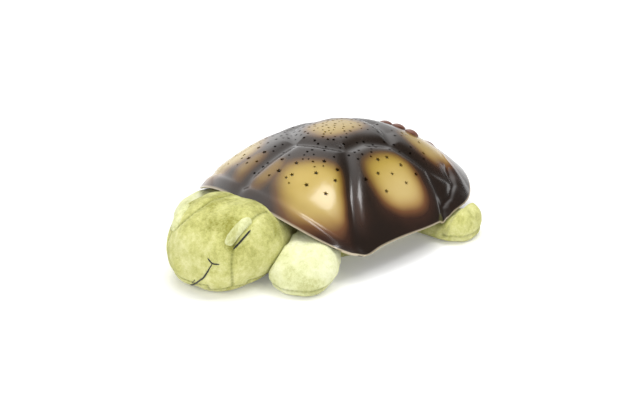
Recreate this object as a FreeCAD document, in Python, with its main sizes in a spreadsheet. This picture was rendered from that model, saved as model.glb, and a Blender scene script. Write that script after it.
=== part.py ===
# Star night light: a plush sleeping turtle under a rigid shell pierced with stars.
# Millimetres. The head points to -X, the turtle's left side to -Y, +Z is up.
# The origin lies on the table, under the highest point of the shell.
import FreeCAD, Part
import math
import os
import random

Vec = FreeCAD.Vector
Point2 = FreeCAD.Base.Vector2d
UP = Vec(0, 0, 1)

DIMENSIONS = {
    # Shell: a crowned sheet over an outline of arcs.
    "shell_top": 119.0,
    "shell_fall": 89.0,
    "shell_half_length": 198.0,
    "shell_half_width": 125.7,
    "crown_power": 2.2,
    "shell_wall": 2.4,
    "front_arc_centre": 37.6,
    "front_arc_radius": 164.6,
    "shoulder_half_width": 121.0,
    "waist_place": 28.0,
    "waist_half_width": 127.0,
    "hip_place": 118.0,
    "hip_half_width": 110.0,
    "stern_place": 168.0,
    "stern_half_width": 72.0,
    "shell_rear": 195.0,
    # Brim over the head and the grooves between the scutes.
    "brim_width": 13.0,
    "brim_arch": 9.0,
    "brim_shoulder_lift": 8.0,
    "brim_reach_back": 30.0,
    "brim_crease_depth": 3.5,
    "brim_crease_width": 5.0,
    "groove_depth": 4.5,
    "groove_width": 8.0,
    # Stars pierced through the shell.
    "big_star_radius": 2.4,
    "small_star_radius": 1.5,
    "star_waist": 0.46,
    "small_star_count": 26,
    # Screw towers under the shell.
    "tower_radius": 4.5,
    "tower_bore_radius": 1.3,
    "tower_bore_depth": 12.0,
    "front_tower_place": -38.0,
    "front_tower_half_width": 48.0,
    "middle_tower_place": 40.0,
    "middle_tower_half_width": 86.0,
    "rear_tower_place": 128.0,
    "rear_tower_half_width": 56.0,
    # Base plate that closes the shell from below.
    "plate_bottom": 31.0,
    "plate_thickness": 3.0,
    "plate_inset": 20.0,
    "plate_front": -62.0,
    "plate_front_half_width": 74.0,
    "plate_rim_wall": 2.4,
    "plate_rim_height": 6.0,
    "screw_hole_radius": 1.7,
    "screw_head_radius": 3.0,
    "screw_head_height": 1.5,
    "screw_shank_radius": 1.2,
    "head_clearance": 0.2,
    # Battery bay, its door and its cells.
    "cell_radius": 5.25,
    "cell_length": 44.5,
    "cell_gap": 0.9,
    "cell_nub_radius": 1.9,
    "cell_nub_height": 0.8,
    "cell_lift": 0.4,
    "bay_front": 20.0,
    "bay_length": 52.0,
    "bay_side_gap": 0.75,
    "bay_wall": 2.0,
    "contact_thickness": 0.6,
    "contact_height": 8.0,
    "door_thickness": 2.2,
    "door_lip": 2.5,
    "door_end_lip": 7.5,
    "door_gap": 0.6,
    "door_side_gap": 0.4,
    "door_roof_gap": 0.3,
    "door_tab_reach": 3.0,
    "door_tab_width": 8.0,
    "door_tab_thickness": 1.1,
    "door_tab_spread": 12.0,
    "door_screw_inset": 3.5,
    "door_screw_head_radius": 2.4,
    "door_screw_head_height": 1.2,
    "door_screw_length": 8.0,
    "door_screw_play": 0.5,
    "door_boss_radius": 4.0,
    "door_boss_height": 8.0,
    # Lamp that shines through the stars.
    "lamp_place": -14.0,
    "lamp_foot_radius": 16.0,
    "lamp_foot_thickness": 2.5,
    "lamp_post_radius": 8.0,
    "lamp_post_height": 18.0,
    "lamp_board_radius": 12.0,
    "board_thickness": 1.6,
    "lamp_circle_radius": 6.5,
    "lamp_radius": 2.5,
    "lamp_flange_radius": 2.9,
    "lamp_flange_height": 1.0,
    "lamp_barrel_height": 5.0,
    # Main circuit board.
    "board_place_x": 17.0,
    "board_place_y": 54.0,
    "board_length": 58.0,
    "board_width": 38.0,
    "board_standoff": 4.0,
    "board_post_radius": 3.2,
    "board_screw_inset": 5.0,
    "chip_length": 10.0,
    "chip_width": 7.0,
    "chip_height": 1.6,
    "capacitor_radius": 3.1,
    "capacitor_height": 9.0,
    "resistor_radius": 1.2,
    "resistor_length": 6.5,
    "resistor_pitch": 5.0,
    # Push buttons and their switches.
    "colour_button_place": 125.0,
    "colour_button_pitch": 20.4,
    "power_button_place": 176.0,
    "colour_button_radius": 8.2,
    "power_button_radius": 10.5,
    "button_hole_gap": 0.5,
    "button_rise": 1.4,
    "button_crown": 3.0,
    "button_flange_reach": 1.2,
    "button_flange_thickness": 1.3,
    "button_flange_gap": 1.0,
    "button_travel": 1.2,
    "button_stem_radius": 3.0,
    "button_stem_end": 9.0,
    "plunger_radius": 1.7,
    "plunger_length": 2.2,
    "plunger_gap": 0.15,
    "switch_gap": 0.3,
    "switch_side": 6.0,
    "switch_height": 3.5,
    "switch_board_radius": 6.4,
    "carrier_post_radius": 6.5,
    "carrier_foot_thickness": 3.0,
    "carrier_rib_half_width": 6.0,
    "carrier_front": 85.0,
    "carrier_foot_length": 36.0,
    "carrier_foot_half_width": 24.0,
    "carrier_screw_inset": 4.5,
    # Plush body cushion, its battery flap and the fastening strips.
    "pad_centre": 14.0,
    "pad_half_length": 104.0,
    "pad_half_width": 84.0,
    "pad_top": 29.5,
    "strip_thickness": 0.75,
    "strip_width": 16.0,
    "strip_length": 60.0,
    "belly_hole_front": 12.0,
    "belly_hole_length": 71.0,
    "belly_hole_half_width": 30.0,
    "flap_margin": 8.0,
    "flap_gap": 1.0,
    "flap_lift": 0.8,
    "flap_thickness": 2.4,
    "flap_room": 5.0,
    "flap_strip_length": 6.0,
    "flap_strip_half_width": 26.0,
    "flap_strip_thickness": 0.8,
    # Plush head and limbs.
    "neck_place": -95.0,
    "head_turn": 12.0,
    "floor_cut": 0.5,
    "soft_gap": 0.4,
    "eyelid_radius": 3.6,
}

doc = FreeCAD.newDocument("star_night_light")
sheet = doc.addObject("Spreadsheet::Sheet", "sizes")
for row, (alias, value) in enumerate(DIMENSIONS.items(), start=1):
    sheet.set("A%d" % row, alias)
    sheet.set("B%d" % row, str(value))
    sheet.setAlias("B%d" % row, alias)
doc.recompute()


def size(alias):
    """The value of one named cell of the sheet."""
    return float(sheet.get(alias))


sub_parts = []


def keep(item, label):
    """Names an object as one finished piece."""
    item.Label = label
    sub_parts.append(item)
    return item


def sized(kind, name, **bound):
    """A primitive whose sizes and place follow cells of the sheet."""
    item = doc.addObject(kind, name)
    for key, rule in bound.items():
        target = ".Placement.Base." + key if key in ("x", "y", "z") else key
        item.setExpression(target, rule)
    return item


def shaped(shape, label):
    """A finished piece whose solid comes from a function below."""
    item = doc.addObject("Part::Feature", label)
    item.Shape = shape
    item.Placement = FreeCAD.Placement()
    return keep(item, label)


def cut(name, base, tool):
    item = doc.addObject("Part::Cut", name)
    item.Base = base
    item.Tool = tool
    return item


def fuse(name, pieces):
    item = doc.addObject("Part::MultiFuse", name)
    item.Shapes = pieces
    return item


def group(name, pieces):
    """Identical small parts that stay separate solids in one piece."""
    item = doc.addObject("Part::Compound", name)
    item.Links = pieces
    return item


# Heights that several pieces share
PLATE_TOP = size("plate_bottom") + size("plate_thickness")
plate_top = "sizes.plate_bottom + sizes.plate_thickness"

# The form of the shell
FRONT_TIP = (size("front_arc_centre") - size("front_arc_radius"), 0.0)
SHOULDER_ANGLE = math.asin(size("shoulder_half_width") / size("front_arc_radius"))
SHOULDER = (
    size("front_arc_centre") - size("front_arc_radius") * math.cos(SHOULDER_ANGLE),
    -size("shoulder_half_width"),
)
WAIST = (size("waist_place"), -size("waist_half_width"))
HIP = (size("hip_place"), -size("hip_half_width"))
STERN = (size("stern_place"), -size("stern_half_width"))
TAIL_END = (size("shell_rear"), 0.0)

# Corners of the grooves between the scutes, as shares of the shell's half sizes
CROWN_FRONT = (-0.20, 0.0)
CROWN_SIDE = (-0.015, -0.334)
CROWN_REAR = (0.40, 0.0)
CROWN_HIP = (0.293, -0.398)
FLANK_REAR = (0.444, -0.628)
GROOVES = [
    [(-0.60, 0.0), CROWN_FRONT, (-0.10, -0.207), CROWN_SIDE],
    [CROWN_SIDE, (-0.111, -0.525), (-0.197, -0.668), (-0.253, -0.788), (-0.283, -0.875)],
    [CROWN_SIDE, (0.121, -0.318), CROWN_HIP, FLANK_REAR],
    [CROWN_HIP, (0.374, -0.207), CROWN_REAR],
    [FLANK_REAR, (0.424, -0.796), (0.414, -0.891)],
    [FLANK_REAR, (0.566, -0.668), (0.646, -0.589)],
]


def distance_to_run(x, y, start, end):
    """How far a plan point lies from one straight run of a groove."""
    half_length = size("shell_half_length")
    half_width = size("shell_half_width")
    ax, ay = start[0] * half_length, start[1] * half_width
    dx, dy = end[0] * half_length - ax, end[1] * half_width - ay
    along = ((x - ax) * dx + (y - ay) * dy) / (dx * dx + dy * dy)
    along = min(1.0, max(0.0, along))
    return math.hypot(x - ax - along * dx, y - ay - along * dy)


RUNS = [(a, b) for line in GROOVES for a, b in zip(line, line[1:])]
SHAPE = {name: size(name) for name in DIMENSIONS}


def crown_height(x, y):
    """The plain dome, before grooves and brim."""
    power = SHAPE["crown_power"]
    fall = (abs(x) / SHAPE["shell_half_length"]) ** power
    fall += (abs(y) / SHAPE["shell_half_width"]) ** power
    return SHAPE["shell_top"] - SHAPE["shell_fall"] * fall


def shell_height(x, y):
    """Height of the shell's outer face over a point of the plan."""
    side = -abs(y)
    nearest = min(distance_to_run(x, side, a, b) for a, b in RUNS)
    groove = SHAPE["groove_depth"] * math.exp(-((nearest / SHAPE["groove_width"]) ** 2))
    reach = math.hypot(x - SHAPE["front_arc_centre"], y)
    crease_reach = SHAPE["front_arc_radius"] - SHAPE["brim_width"]
    in_front = 1.0 / (1.0 + math.exp((x + SHAPE["brim_reach_back"]) / 10.0))
    out = min(2.0, max(0.0, (reach - crease_reach) / SHAPE["brim_width"]))
    toward_shoulder = (abs(y) / SHAPE["shoulder_half_width"]) ** 5
    lift = (SHAPE["brim_arch"] + SHAPE["brim_shoulder_lift"]) * toward_shoulder
    lift -= SHAPE["brim_arch"]
    crease = math.exp(-(((reach - crease_reach) / SHAPE["brim_crease_width"]) ** 2))
    crease *= SHAPE["brim_crease_depth"]
    return crown_height(x, y) - groove + in_front * (out * out * lift - crease)


def shell_normal(x, y):
    """Outward direction of the plain dome at a plan point."""
    step = 0.5
    slope_x = (crown_height(x + step, y) - crown_height(x - step, y)) / (2 * step)
    slope_y = (crown_height(x, y + step) - crown_height(x, y - step)) / (2 * step)
    return Vec(-slope_x, -slope_y, 1).normalize()


def arc_points(start, middle, end, steps):
    """Points along the arc through three plan points, without the last one."""
    arc = Part.Arc(Vec(*start, 0), Vec(*middle, 0), Vec(*end, 0))
    points = arc.discretize(steps + 1)
    return [(p.x, p.y) for p in points][:-1]


def shell_outline(steps=14):
    """The rim in plan: five arcs a side, with corners at the shoulders."""
    half = SHOULDER_ANGLE / 2
    radius = size("front_arc_radius")
    front_middle = (
        size("front_arc_centre") - radius * math.cos(half),
        -radius * math.sin(half),
    )
    near = arc_points(FRONT_TIP, front_middle, SHOULDER, steps)
    near += arc_points(SHOULDER, WAIST, HIP, steps)
    near += arc_points(HIP, STERN, TAIL_END, steps)
    near.append(TAIL_END)
    far = [(x, -y) for x, y in reversed(near[1:-1])]
    return near + far


def even_knots(low, high, pitch):
    count = int(round((high - low) / pitch))
    return [low + (high - low) * i / count for i in range(count + 1)]


def pole_places(knots):
    """Where a cubic spline's poles go so that it runs evenly along the plan."""
    padded = [knots[0]] * 3 + knots + [knots[-1]] * 3
    return [sum(padded[i + 1:i + 4]) / 3 for i in range(len(knots) + 2)]


PLAN_MARGIN = 12.0
KNOT_PITCH = 6.0


def shell_surface(depth):
    """The shell's face, or one that lies a given depth under it."""
    reach = max(size("waist_half_width"), size("shoulder_half_width")) + PLAN_MARGIN
    across = even_knots(-reach, reach, KNOT_PITCH)
    along = even_knots(FRONT_TIP[0] - PLAN_MARGIN, TAIL_END[0] + PLAN_MARGIN, KNOT_PITCH)
    poles = []
    for x in pole_places(along):
        line = []
        for y in pole_places(across):
            drop = depth / shell_normal(x, y).z
            line.append(Vec(x, y, shell_height(x, y) - drop))
        poles.append(line)
    surface = Part.BSplineSurface()
    surface.buildFromPolesMultsKnots(
        poles,
        [4] + [1] * (len(along) - 2) + [4],
        [4] + [1] * (len(across) - 2) + [4],
        along,
        across,
        False,
        False,
        3,
        3,
    )
    return surface


def loop_on(surface, points):
    """Edges on a surface that follow a closed line of plan points."""
    following = points[1:] + points[:1]
    edges = []
    for a, b in zip(points, following):
        run = Part.Geom2d.Line2dSegment(Point2(*a), Point2(*b))
        edges.append(run.toShape(surface))
    return edges


# Where the larger stars of the front and side scutes stand, on one side
BIG_STARS = [
    (-64, -73), (-76, -56), (-80, -38), (-45, -68), (-58, -52), (-86, -24),
    (-66, -30), (-72, -14), (-40, -46), (-34, -60),
    (7, -94), (40, -92), (-10, -79), (10, -78), (28, -82), (48, -76),
    (62, -86), (36, -66), (22, -66),
    (100, -62), (112, -44), (98, -30),
]
STAR_SEED = 7
STAR_POINTS = 5
STAR_SPACING = 9.0


def clear_of_fittings(x, y):
    """True where a star would miss the screw towers and the buttons."""
    towers = [
        (size("front_tower_place"), size("front_tower_half_width")),
        (size("middle_tower_place"), size("middle_tower_half_width")),
        (size("rear_tower_place"), size("rear_tower_half_width")),
    ]
    room = size("tower_radius") + 2 * size("big_star_radius")
    for tower_x, tower_y in towers:
        if math.hypot(x - tower_x, abs(y) - tower_y) < room:
            return False
    row_half = size("colour_button_pitch") + size("colour_button_radius")
    in_row = abs(x - size("colour_button_place")) < size("colour_button_radius") + 6
    return not (in_row and abs(y) < row_half + 6)


def star_places():
    """Centre, radius and turn of every star."""
    draw = random.Random(STAR_SEED)
    stars = []
    for x, y in BIG_STARS:
        for side in (1, -1):
            if clear_of_fittings(x, y):
                stars.append((x, y * side, size("big_star_radius"), draw.uniform(0, 72)))
    tries = 0
    wanted = len(stars) + int(size("small_star_count"))
    while len(stars) < wanted and tries < 5000:
        tries += 1
        x = draw.gauss(10, 42)
        y = draw.gauss(0, 30)
        inside = -80 < x < 105 and abs(y) < 60 and clear_of_fittings(x, y)
        apart = all(math.hypot(x - s[0], y - s[1]) > STAR_SPACING for s in stars)
        if inside and apart:
            stars.append((x, y, size("small_star_radius"), draw.uniform(0, 72)))
    return stars


def star_loops(x, y, radius, turn):
    """Plan points of one star on the outer face and, square to it, on the inner."""
    normal = shell_normal(x, y)
    side = normal.cross(Vec(0, 1, 0)).normalize()
    front = normal.cross(side)
    centre = Vec(x, y, crown_height(x, y))
    outer = []
    inner = []
    for i in range(2 * STAR_POINTS):
        angle = math.radians(turn) - i * math.pi / STAR_POINTS
        length = radius * (1.0 if i % 2 == 0 else size("star_waist"))
        point = centre + side * (length * math.cos(angle)) + front * (length * math.sin(angle))
        sunk = point - normal * size("shell_wall")
        outer.append((point.x, point.y))
        inner.append((sunk.x, sunk.y))
    area = sum(a[0] * b[1] - b[0] * a[1] for a, b in zip(outer, outer[1:] + outer[:1]))
    if area > 0:
        outer.reverse()
        inner.reverse()
    return outer, inner


def pierced_skin(surface, rim, holes):
    """One face of the shell with its star holes, and the edges of both."""
    rim_edges = loop_on(surface, rim)
    face = Part.Face(surface, Part.Wire(rim_edges))
    hole_edges = [loop_on(surface, hole) for hole in holes]
    face.cutHoles([Part.Wire(edges) for edges in hole_edges])
    return face, rim_edges, hole_edges


def under_shell(x, y, reach, depth):
    """A block of space below the shell's wall, round one plan point."""
    square = [(x - reach, y - reach), (x + reach, y - reach)]
    square += [(x + reach, y + reach), (x - reach, y + reach)]
    surface = shell_surface(depth)
    lid = Part.Face(surface, Part.Wire(loop_on(surface, square)))
    return lid.extrude(Vec(0, 0, -size("shell_top") * 1.5))


TOWERS = []
for tower_x, tower_y in (
    (size("front_tower_place"), size("front_tower_half_width")),
    (size("middle_tower_place"), size("middle_tower_half_width")),
    (size("rear_tower_place"), size("rear_tower_half_width")),
):
    TOWERS.append((tower_x, -tower_y))
    TOWERS.append((tower_x, tower_y))


class Button:
    """Place and direction of one push button on the shell."""

    def __init__(self, colour, x, y, radius):
        self.colour = colour
        self.radius = radius
        self.normal = shell_normal(x, y)
        self.top = Vec(x, y, crown_height(x, y))

    def at(self, along):
        """The point a given distance out along the button's axis."""
        return self.top + self.normal * along

    def cylinder(self, radius, low, high):
        return Part.makeCylinder(radius, high - low, self.at(low), self.normal)


BUTTONS = [
    Button("amber", size("colour_button_place"), -size("colour_button_pitch"),
           size("colour_button_radius")),
    Button("green", size("colour_button_place"), 0.0, size("colour_button_radius")),
    Button("blue", size("colour_button_place"), size("colour_button_pitch"),
           size("colour_button_radius")),
    Button("power", size("power_button_place"), 0.0, size("power_button_radius")),
]


def star_shell():
    """The moulded shell: crowned, grooved, pierced, with six screw towers."""
    stars = [star_loops(*star) for star in star_places()]
    rim = shell_outline()
    outer = pierced_skin(shell_surface(0.0), rim, [star[0] for star in stars])
    inner = pierced_skin(shell_surface(size("shell_wall")), rim, [star[1] for star in stars])
    faces = [outer[0], inner[0]]
    for above, below in zip(outer[1], inner[1]):
        faces.append(Part.makeRuledSurface(above, below))
    for star_above, star_below in zip(outer[2], inner[2]):
        for above, below in zip(star_above, star_below):
            faces.append(Part.makeRuledSurface(above, below))
    shell = Part.makeShell(faces)
    shell.sewShape()
    solid = Part.Solid(shell)
    if solid.Volume < 0:
        solid.reverse()
    towers = []
    bores = []
    for x, y in TOWERS:
        post = Part.makeCylinder(size("tower_radius"), size("shell_top"), Vec(x, y, PLATE_TOP))
        room = under_shell(x, y, size("tower_radius") + 1, size("shell_wall") / 2)
        towers.append(post.common(room))
        bores.append(Part.makeCylinder(
            size("tower_bore_radius"), size("tower_bore_depth"), Vec(x, y, PLATE_TOP)))
    for button in BUTTONS:
        reach = 4 * size("shell_wall")
        bores.append(button.cylinder(button.radius + size("button_hole_gap"), -reach, reach))
    return solid.fuse(towers).cut(bores)


shaped(star_shell(), "star_shell")


# Push buttons: crowned cap, retaining flange, stem and the switch's plunger
def button_cap(button):
    """Cap with a low crown, its flange under the shell and the stem."""
    wall = size("shell_wall")
    flange_top = -wall - size("button_flange_gap")
    flange_bottom = flange_top - size("button_flange_thickness")
    rise = size("button_rise")
    crown = size("button_crown")
    sphere_radius = (button.radius ** 2 + crown ** 2) / (2 * crown)
    ball = Part.makeSphere(sphere_radius, button.at(rise + crown - sphere_radius))
    body = button.cylinder(button.radius, flange_top, rise + 2 * crown).common(ball)
    flange = button.cylinder(
        button.radius + size("button_flange_reach"), flange_bottom, flange_top)
    stem = button.cylinder(size("button_stem_radius"), -size("button_stem_end"), flange_bottom)
    return body.fuse([flange, stem]).removeSplitter()


def switch_top(button):
    return -size("button_stem_end") - size("button_travel") - size("switch_gap")


def local_box(button, side, low, high):
    """A square block centred on a button's axis."""
    block = Part.makeBox(side, side, high - low, Vec(-side / 2, -side / 2, 0))
    turn = FreeCAD.Rotation(UP, button.normal)
    block.Placement = FreeCAD.Placement(button.at(low), turn)
    return block


switch_boards = []
switch_bodies = []
carrier_posts = []
for button in BUTTONS:
    shaped(button_cap(button), button.colour + "_button")
    stem_end = -size("button_stem_end")
    shaped(
        button.cylinder(size("plunger_radius"), stem_end - size("plunger_length"), stem_end),
        button.colour + "_plunger")
    top = switch_top(button)
    bottom = top - size("switch_height")
    body = local_box(button, size("switch_side"), bottom, top)
    socket_radius = size("plunger_radius") + size("plunger_gap")
    socket = button.cylinder(socket_radius, bottom + 0.6, top + 1)
    switch_bodies.append(body.cut(socket))
    board_low = bottom - size("board_thickness")
    switch_boards.append(button.cylinder(size("switch_board_radius"), board_low, bottom))
    drop = (button.at(board_low).z - PLATE_TOP) / button.normal.z
    reach = board_low - drop - size("carrier_post_radius")
    carrier_posts.append(button.cylinder(size("carrier_post_radius"), reach, board_low))
shaped(Part.makeCompound(switch_bodies), "switch_bodies")
shaped(Part.makeCompound(switch_boards), "switch_boards")

CARRIER_SCREWS = [
    (size("carrier_front") + size("carrier_screw_inset"),
     way * (size("carrier_foot_half_width") - size("carrier_screw_inset")))
    for way in (-1, 1)
]


def switch_carrier():
    """Moulded bracket: four leaning posts on one foot."""
    foot = Part.makeBox(
        size("carrier_foot_length"), 2 * size("carrier_foot_half_width"),
        size("carrier_foot_thickness"),
        Vec(size("carrier_front"), -size("carrier_foot_half_width"), PLATE_TOP))
    power = BUTTONS[-1]
    board_low = switch_top(power) - size("switch_height") - size("board_thickness")
    rib_end = power.at(board_low).x - 2 * size("carrier_post_radius") * power.normal.z
    rib = Part.makeBox(
        rib_end - size("carrier_front"), 2 * size("carrier_rib_half_width"),
        size("carrier_foot_thickness"),
        Vec(size("carrier_front"), -size("carrier_rib_half_width"), PLATE_TOP))
    floor = Part.makeBox(600, 600, 200, Vec(-300, -300, PLATE_TOP - 200))
    carrier = foot.fuse([rib] + carrier_posts).cut(floor)
    holes = []
    for x, y in CARRIER_SCREWS:
        holes.append(Part.makeCylinder(
            size("screw_shank_radius") + size("head_clearance"), 40, Vec(x, y, PLATE_TOP - 10)))
    return carrier.cut(holes)


shaped(switch_carrier(), "switch_carrier")


def screw(x, y, seat, length, head_up=True):
    """Round-headed screw standing on a seat, shank towards the other side."""
    way = 1 if head_up else -1
    head_base = seat if head_up else seat - size("screw_head_height")
    head = Part.makeCylinder(
        size("screw_head_radius"), size("screw_head_height"), Vec(x, y, head_base))
    shank_base = seat - length if head_up else seat
    shank = Part.makeCylinder(size("screw_shank_radius"), length, Vec(x, y, shank_base))
    slot = Part.makeBox(
        2 * size("screw_head_radius"), 0.8, 0.6, Vec(-size("screw_head_radius"), -0.4, -0.3))
    cross = slot.fuse(slot.rotated(Vec(0, 0, 0), UP, 90))
    cross.translate(Vec(x, y, seat + way * size("screw_head_height")))
    return head.fuse(shank).cut(cross)


CARRIER_SCREW_LENGTH = size("carrier_foot_thickness") + size("plate_thickness") - 1
carrier_seat = PLATE_TOP + size("carrier_foot_thickness")
shaped(Part.makeCompound([
    screw(x, y, carrier_seat, CARRIER_SCREW_LENGTH) for x, y in CARRIER_SCREWS
]), "carrier_screws")
shell_screw_seat = size("plate_bottom") + size("screw_head_height")
shaped(Part.makeCompound([
    screw(x, y, shell_screw_seat, size("tower_bore_depth"), head_up=False) for x, y in TOWERS
]), "shell_screws")


# Battery bay
CELL_PITCH = 2 * size("cell_radius") + size("cell_gap")
BAY_HALF_WIDTH = CELL_PITCH + size("cell_radius") + size("bay_side_gap")
DOOR_TOP = size("plate_bottom") + size("door_thickness")
BAY_FLOOR = DOOR_TOP + size("door_roof_gap")
CELL_HEIGHT = DOOR_TOP + size("cell_lift") + size("cell_radius")
BAY_TOP = CELL_HEIGHT + size("cell_radius") + 0.5
DOOR_FRONT = size("bay_front") - size("door_lip")
DOOR_REAR = size("bay_front") + size("bay_length") + size("door_end_lip")
DOOR_HALF_WIDTH = BAY_HALF_WIDTH + 1.6
TAB_FRONT = DOOR_FRONT - size("door_tab_reach")
DOOR_SCREW_PLACE = DOOR_REAR - size("door_screw_inset")


def plan_face(points_and_arcs):
    """A flat face bounded by arcs through groups of three plan points."""
    edges = []
    for start, middle, end in points_and_arcs:
        if middle is None:
            edges.append(Part.LineSegment(Vec(*start, 0), Vec(*end, 0)).toShape())
        else:
            edges.append(Part.Arc(Vec(*start, 0), Vec(*middle, 0), Vec(*end, 0)).toShape())
    return Part.Face(Part.Wire(edges))


def drawn_in(point, inset):
    """A plan point moved toward the middle of the waist."""
    dx = point[0] - size("waist_place")
    reach = math.hypot(dx, point[1])
    share = (reach - inset) / reach
    return (size("waist_place") + dx * share, point[1] * share)


def mirrored(point):
    return (point[0], -point[1])


def plate_outline(inset):
    """The base plate's outline, which follows the rim of the shell."""
    front = (size("plate_front") + inset, 0.0)
    corner = (size("plate_front") + 24 + inset / 2, -size("plate_front_half_width") + inset)
    flank = (-6.0, drawn_in(WAIST, size("plate_inset") + inset)[1] + 5)
    waist = drawn_in(WAIST, size("plate_inset") + inset)
    hip = drawn_in(HIP, size("plate_inset") + inset)
    stern = drawn_in(STERN, size("plate_inset") + inset)
    rear = drawn_in(TAIL_END, size("plate_inset") + inset)
    return [
        (mirrored(corner), front, corner),
        (corner, flank, waist),
        (waist, None, hip),
        (hip, stern, rear),
        (rear, mirrored(stern), mirrored(hip)),
        (mirrored(hip), None, mirrored(waist)),
        (mirrored(waist), mirrored(flank), mirrored(corner)),
    ]


BOARD_POSTS = []
for end_x in (-1, 1):
    for end_y in (-1, 1):
        post_x = size("board_place_x") + end_x * (size("board_length") / 2 - size("board_screw_inset"))
        post_y = size("board_place_y") + end_y * (size("board_width") / 2 - size("board_screw_inset"))
        BOARD_POSTS.append((post_x, post_y))
LAMP_SCREWS = []
for turn in (60, 180, 300):
    reach = size("lamp_foot_radius") - size("screw_head_radius") - 0.5
    LAMP_SCREWS.append((
        size("lamp_place") + reach * math.cos(math.radians(turn)),
        reach * math.sin(math.radians(turn))))


def base_plate():
    """Tray with a rim, the battery bay, screw seats and board posts."""
    bottom = size("plate_bottom")
    plate = plan_face(plate_outline(0.0)).extrude(Vec(0, 0, size("plate_thickness")))
    plate.translate(Vec(0, 0, bottom))
    height = size("plate_thickness") + size("plate_rim_height")
    rim = plan_face(plate_outline(0.0)).extrude(Vec(0, 0, height))
    hollow = plan_face(plate_outline(size("plate_rim_wall"))).extrude(Vec(0, 0, 2 * height))
    hollow.translate(Vec(0, 0, -height / 2))
    rim = rim.cut(hollow)
    rim.translate(Vec(0, 0, bottom))
    wall = size("bay_wall")
    bay = Part.makeBox(
        size("bay_length") + 2 * wall, 2 * (BAY_HALF_WIDTH + wall), BAY_TOP + wall - bottom,
        Vec(size("bay_front") - wall, -BAY_HALF_WIDTH - wall, bottom))
    block_front = TAB_FRONT - 3
    block_half = DOOR_HALF_WIDTH + 2
    block_length = DOOR_REAR + 4 - block_front
    block = Part.makeBox(
        block_length, 2 * block_half, size("plate_thickness") + 2,
        Vec(block_front, -block_half, bottom))
    boss = Part.makeCylinder(
        size("door_boss_radius"), size("door_boss_height") + size("plate_thickness"),
        Vec(DOOR_SCREW_PLACE, 0, bottom))
    posts = []
    holes = []
    for x, y in BOARD_POSTS:
        posts.append(Part.makeCylinder(
            size("board_post_radius"), size("board_standoff"), Vec(x, y, PLATE_TOP)))
        holes.append(Part.makeCylinder(
            size("tower_bore_radius"), size("board_standoff"), Vec(x, y, PLATE_TOP)))
    for x, y in CARRIER_SCREWS + LAMP_SCREWS:
        holes.append(Part.makeCylinder(
            size("tower_bore_radius"), size("plate_thickness"), Vec(x, y, bottom + 0.8)))
    for x, y in TOWERS:
        holes.append(Part.makeCylinder(size("screw_hole_radius"), 20, Vec(x, y, bottom - 5)))
        holes.append(Part.makeCylinder(
            size("screw_head_radius") + size("head_clearance"), size("screw_head_height"),
            Vec(x, y, bottom)))
    room = Part.makeBox(
        size("bay_length"), 2 * BAY_HALF_WIDTH, BAY_TOP - bottom,
        Vec(size("bay_front"), -BAY_HALF_WIDTH, bottom))
    gap = size("door_gap")
    side = DOOR_HALF_WIDTH + size("door_side_gap")
    recess = Part.makeBox(
        DOOR_REAR - DOOR_FRONT + 2 * gap, 2 * side, BAY_FLOOR - bottom,
        Vec(DOOR_FRONT - gap, -side, bottom))
    holes += [room, recess]
    for way in (-1, 1):
        slot_width = size("door_tab_width") + 2 * size("door_side_gap")
        holes.append(Part.makeBox(
            size("door_tab_reach") + 0.5, slot_width, BAY_FLOOR + 1.1 - (DOOR_TOP - 1.5),
            Vec(TAB_FRONT - gap, way * size("door_tab_spread") - slot_width / 2, DOOR_TOP - 1.5)))
    screw_room = size("screw_shank_radius") + size("door_screw_play")
    holes.append(Part.makeCylinder(
        screw_room, size("door_screw_length") + 1, Vec(DOOR_SCREW_PLACE, 0, bottom)))
    return plate.fuse([rim, bay, block, boss] + posts).cut(holes).removeSplitter()


shaped(base_plate(), "base_plate")

# The door: a panel with two tabs, and a countersunk hole for its captive screw
panel = sized(
    "Part::Box", "door_panel",
    Length="sizes.bay_length + sizes.door_lip + sizes.door_end_lip",
    Width=str(2 * DOOR_HALF_WIDTH), Height="sizes.door_thickness",
    x="sizes.bay_front - sizes.door_lip", y=str(-DOOR_HALF_WIDTH), z="sizes.plate_bottom")
tabs = []
for index, way in enumerate((-1, 1)):
    tabs.append(sized(
        "Part::Box", "door_tab_%d" % index,
        Length="sizes.door_tab_reach + 1", Width="sizes.door_tab_width",
        Height="sizes.door_tab_thickness",
        x="sizes.bay_front - sizes.door_lip - sizes.door_tab_reach",
        y="%d * sizes.door_tab_spread - sizes.door_tab_width / 2" % way,
        z="sizes.plate_bottom + sizes.door_thickness - sizes.door_tab_thickness"))
door_screw_x = (
    "sizes.bay_front + sizes.bay_length + sizes.door_end_lip - sizes.door_screw_inset")
hole = sized(
    "Part::Cylinder", "door_screw_hole", Radius="sizes.screw_shank_radius",
    Height="2 * sizes.door_thickness", x=door_screw_x,
    z="sizes.plate_bottom - sizes.door_thickness / 2")
sink = sized(
    "Part::Cylinder", "door_screw_sink", Radius="sizes.door_screw_head_radius",
    Height="sizes.door_screw_head_height", x=door_screw_x, z="sizes.plate_bottom")
door_blank = fuse("door_blank", [panel] + tabs)
door_tools = fuse("door_tools", [hole, sink])
keep(cut("door_cut", door_blank, door_tools), "battery_door")

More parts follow.
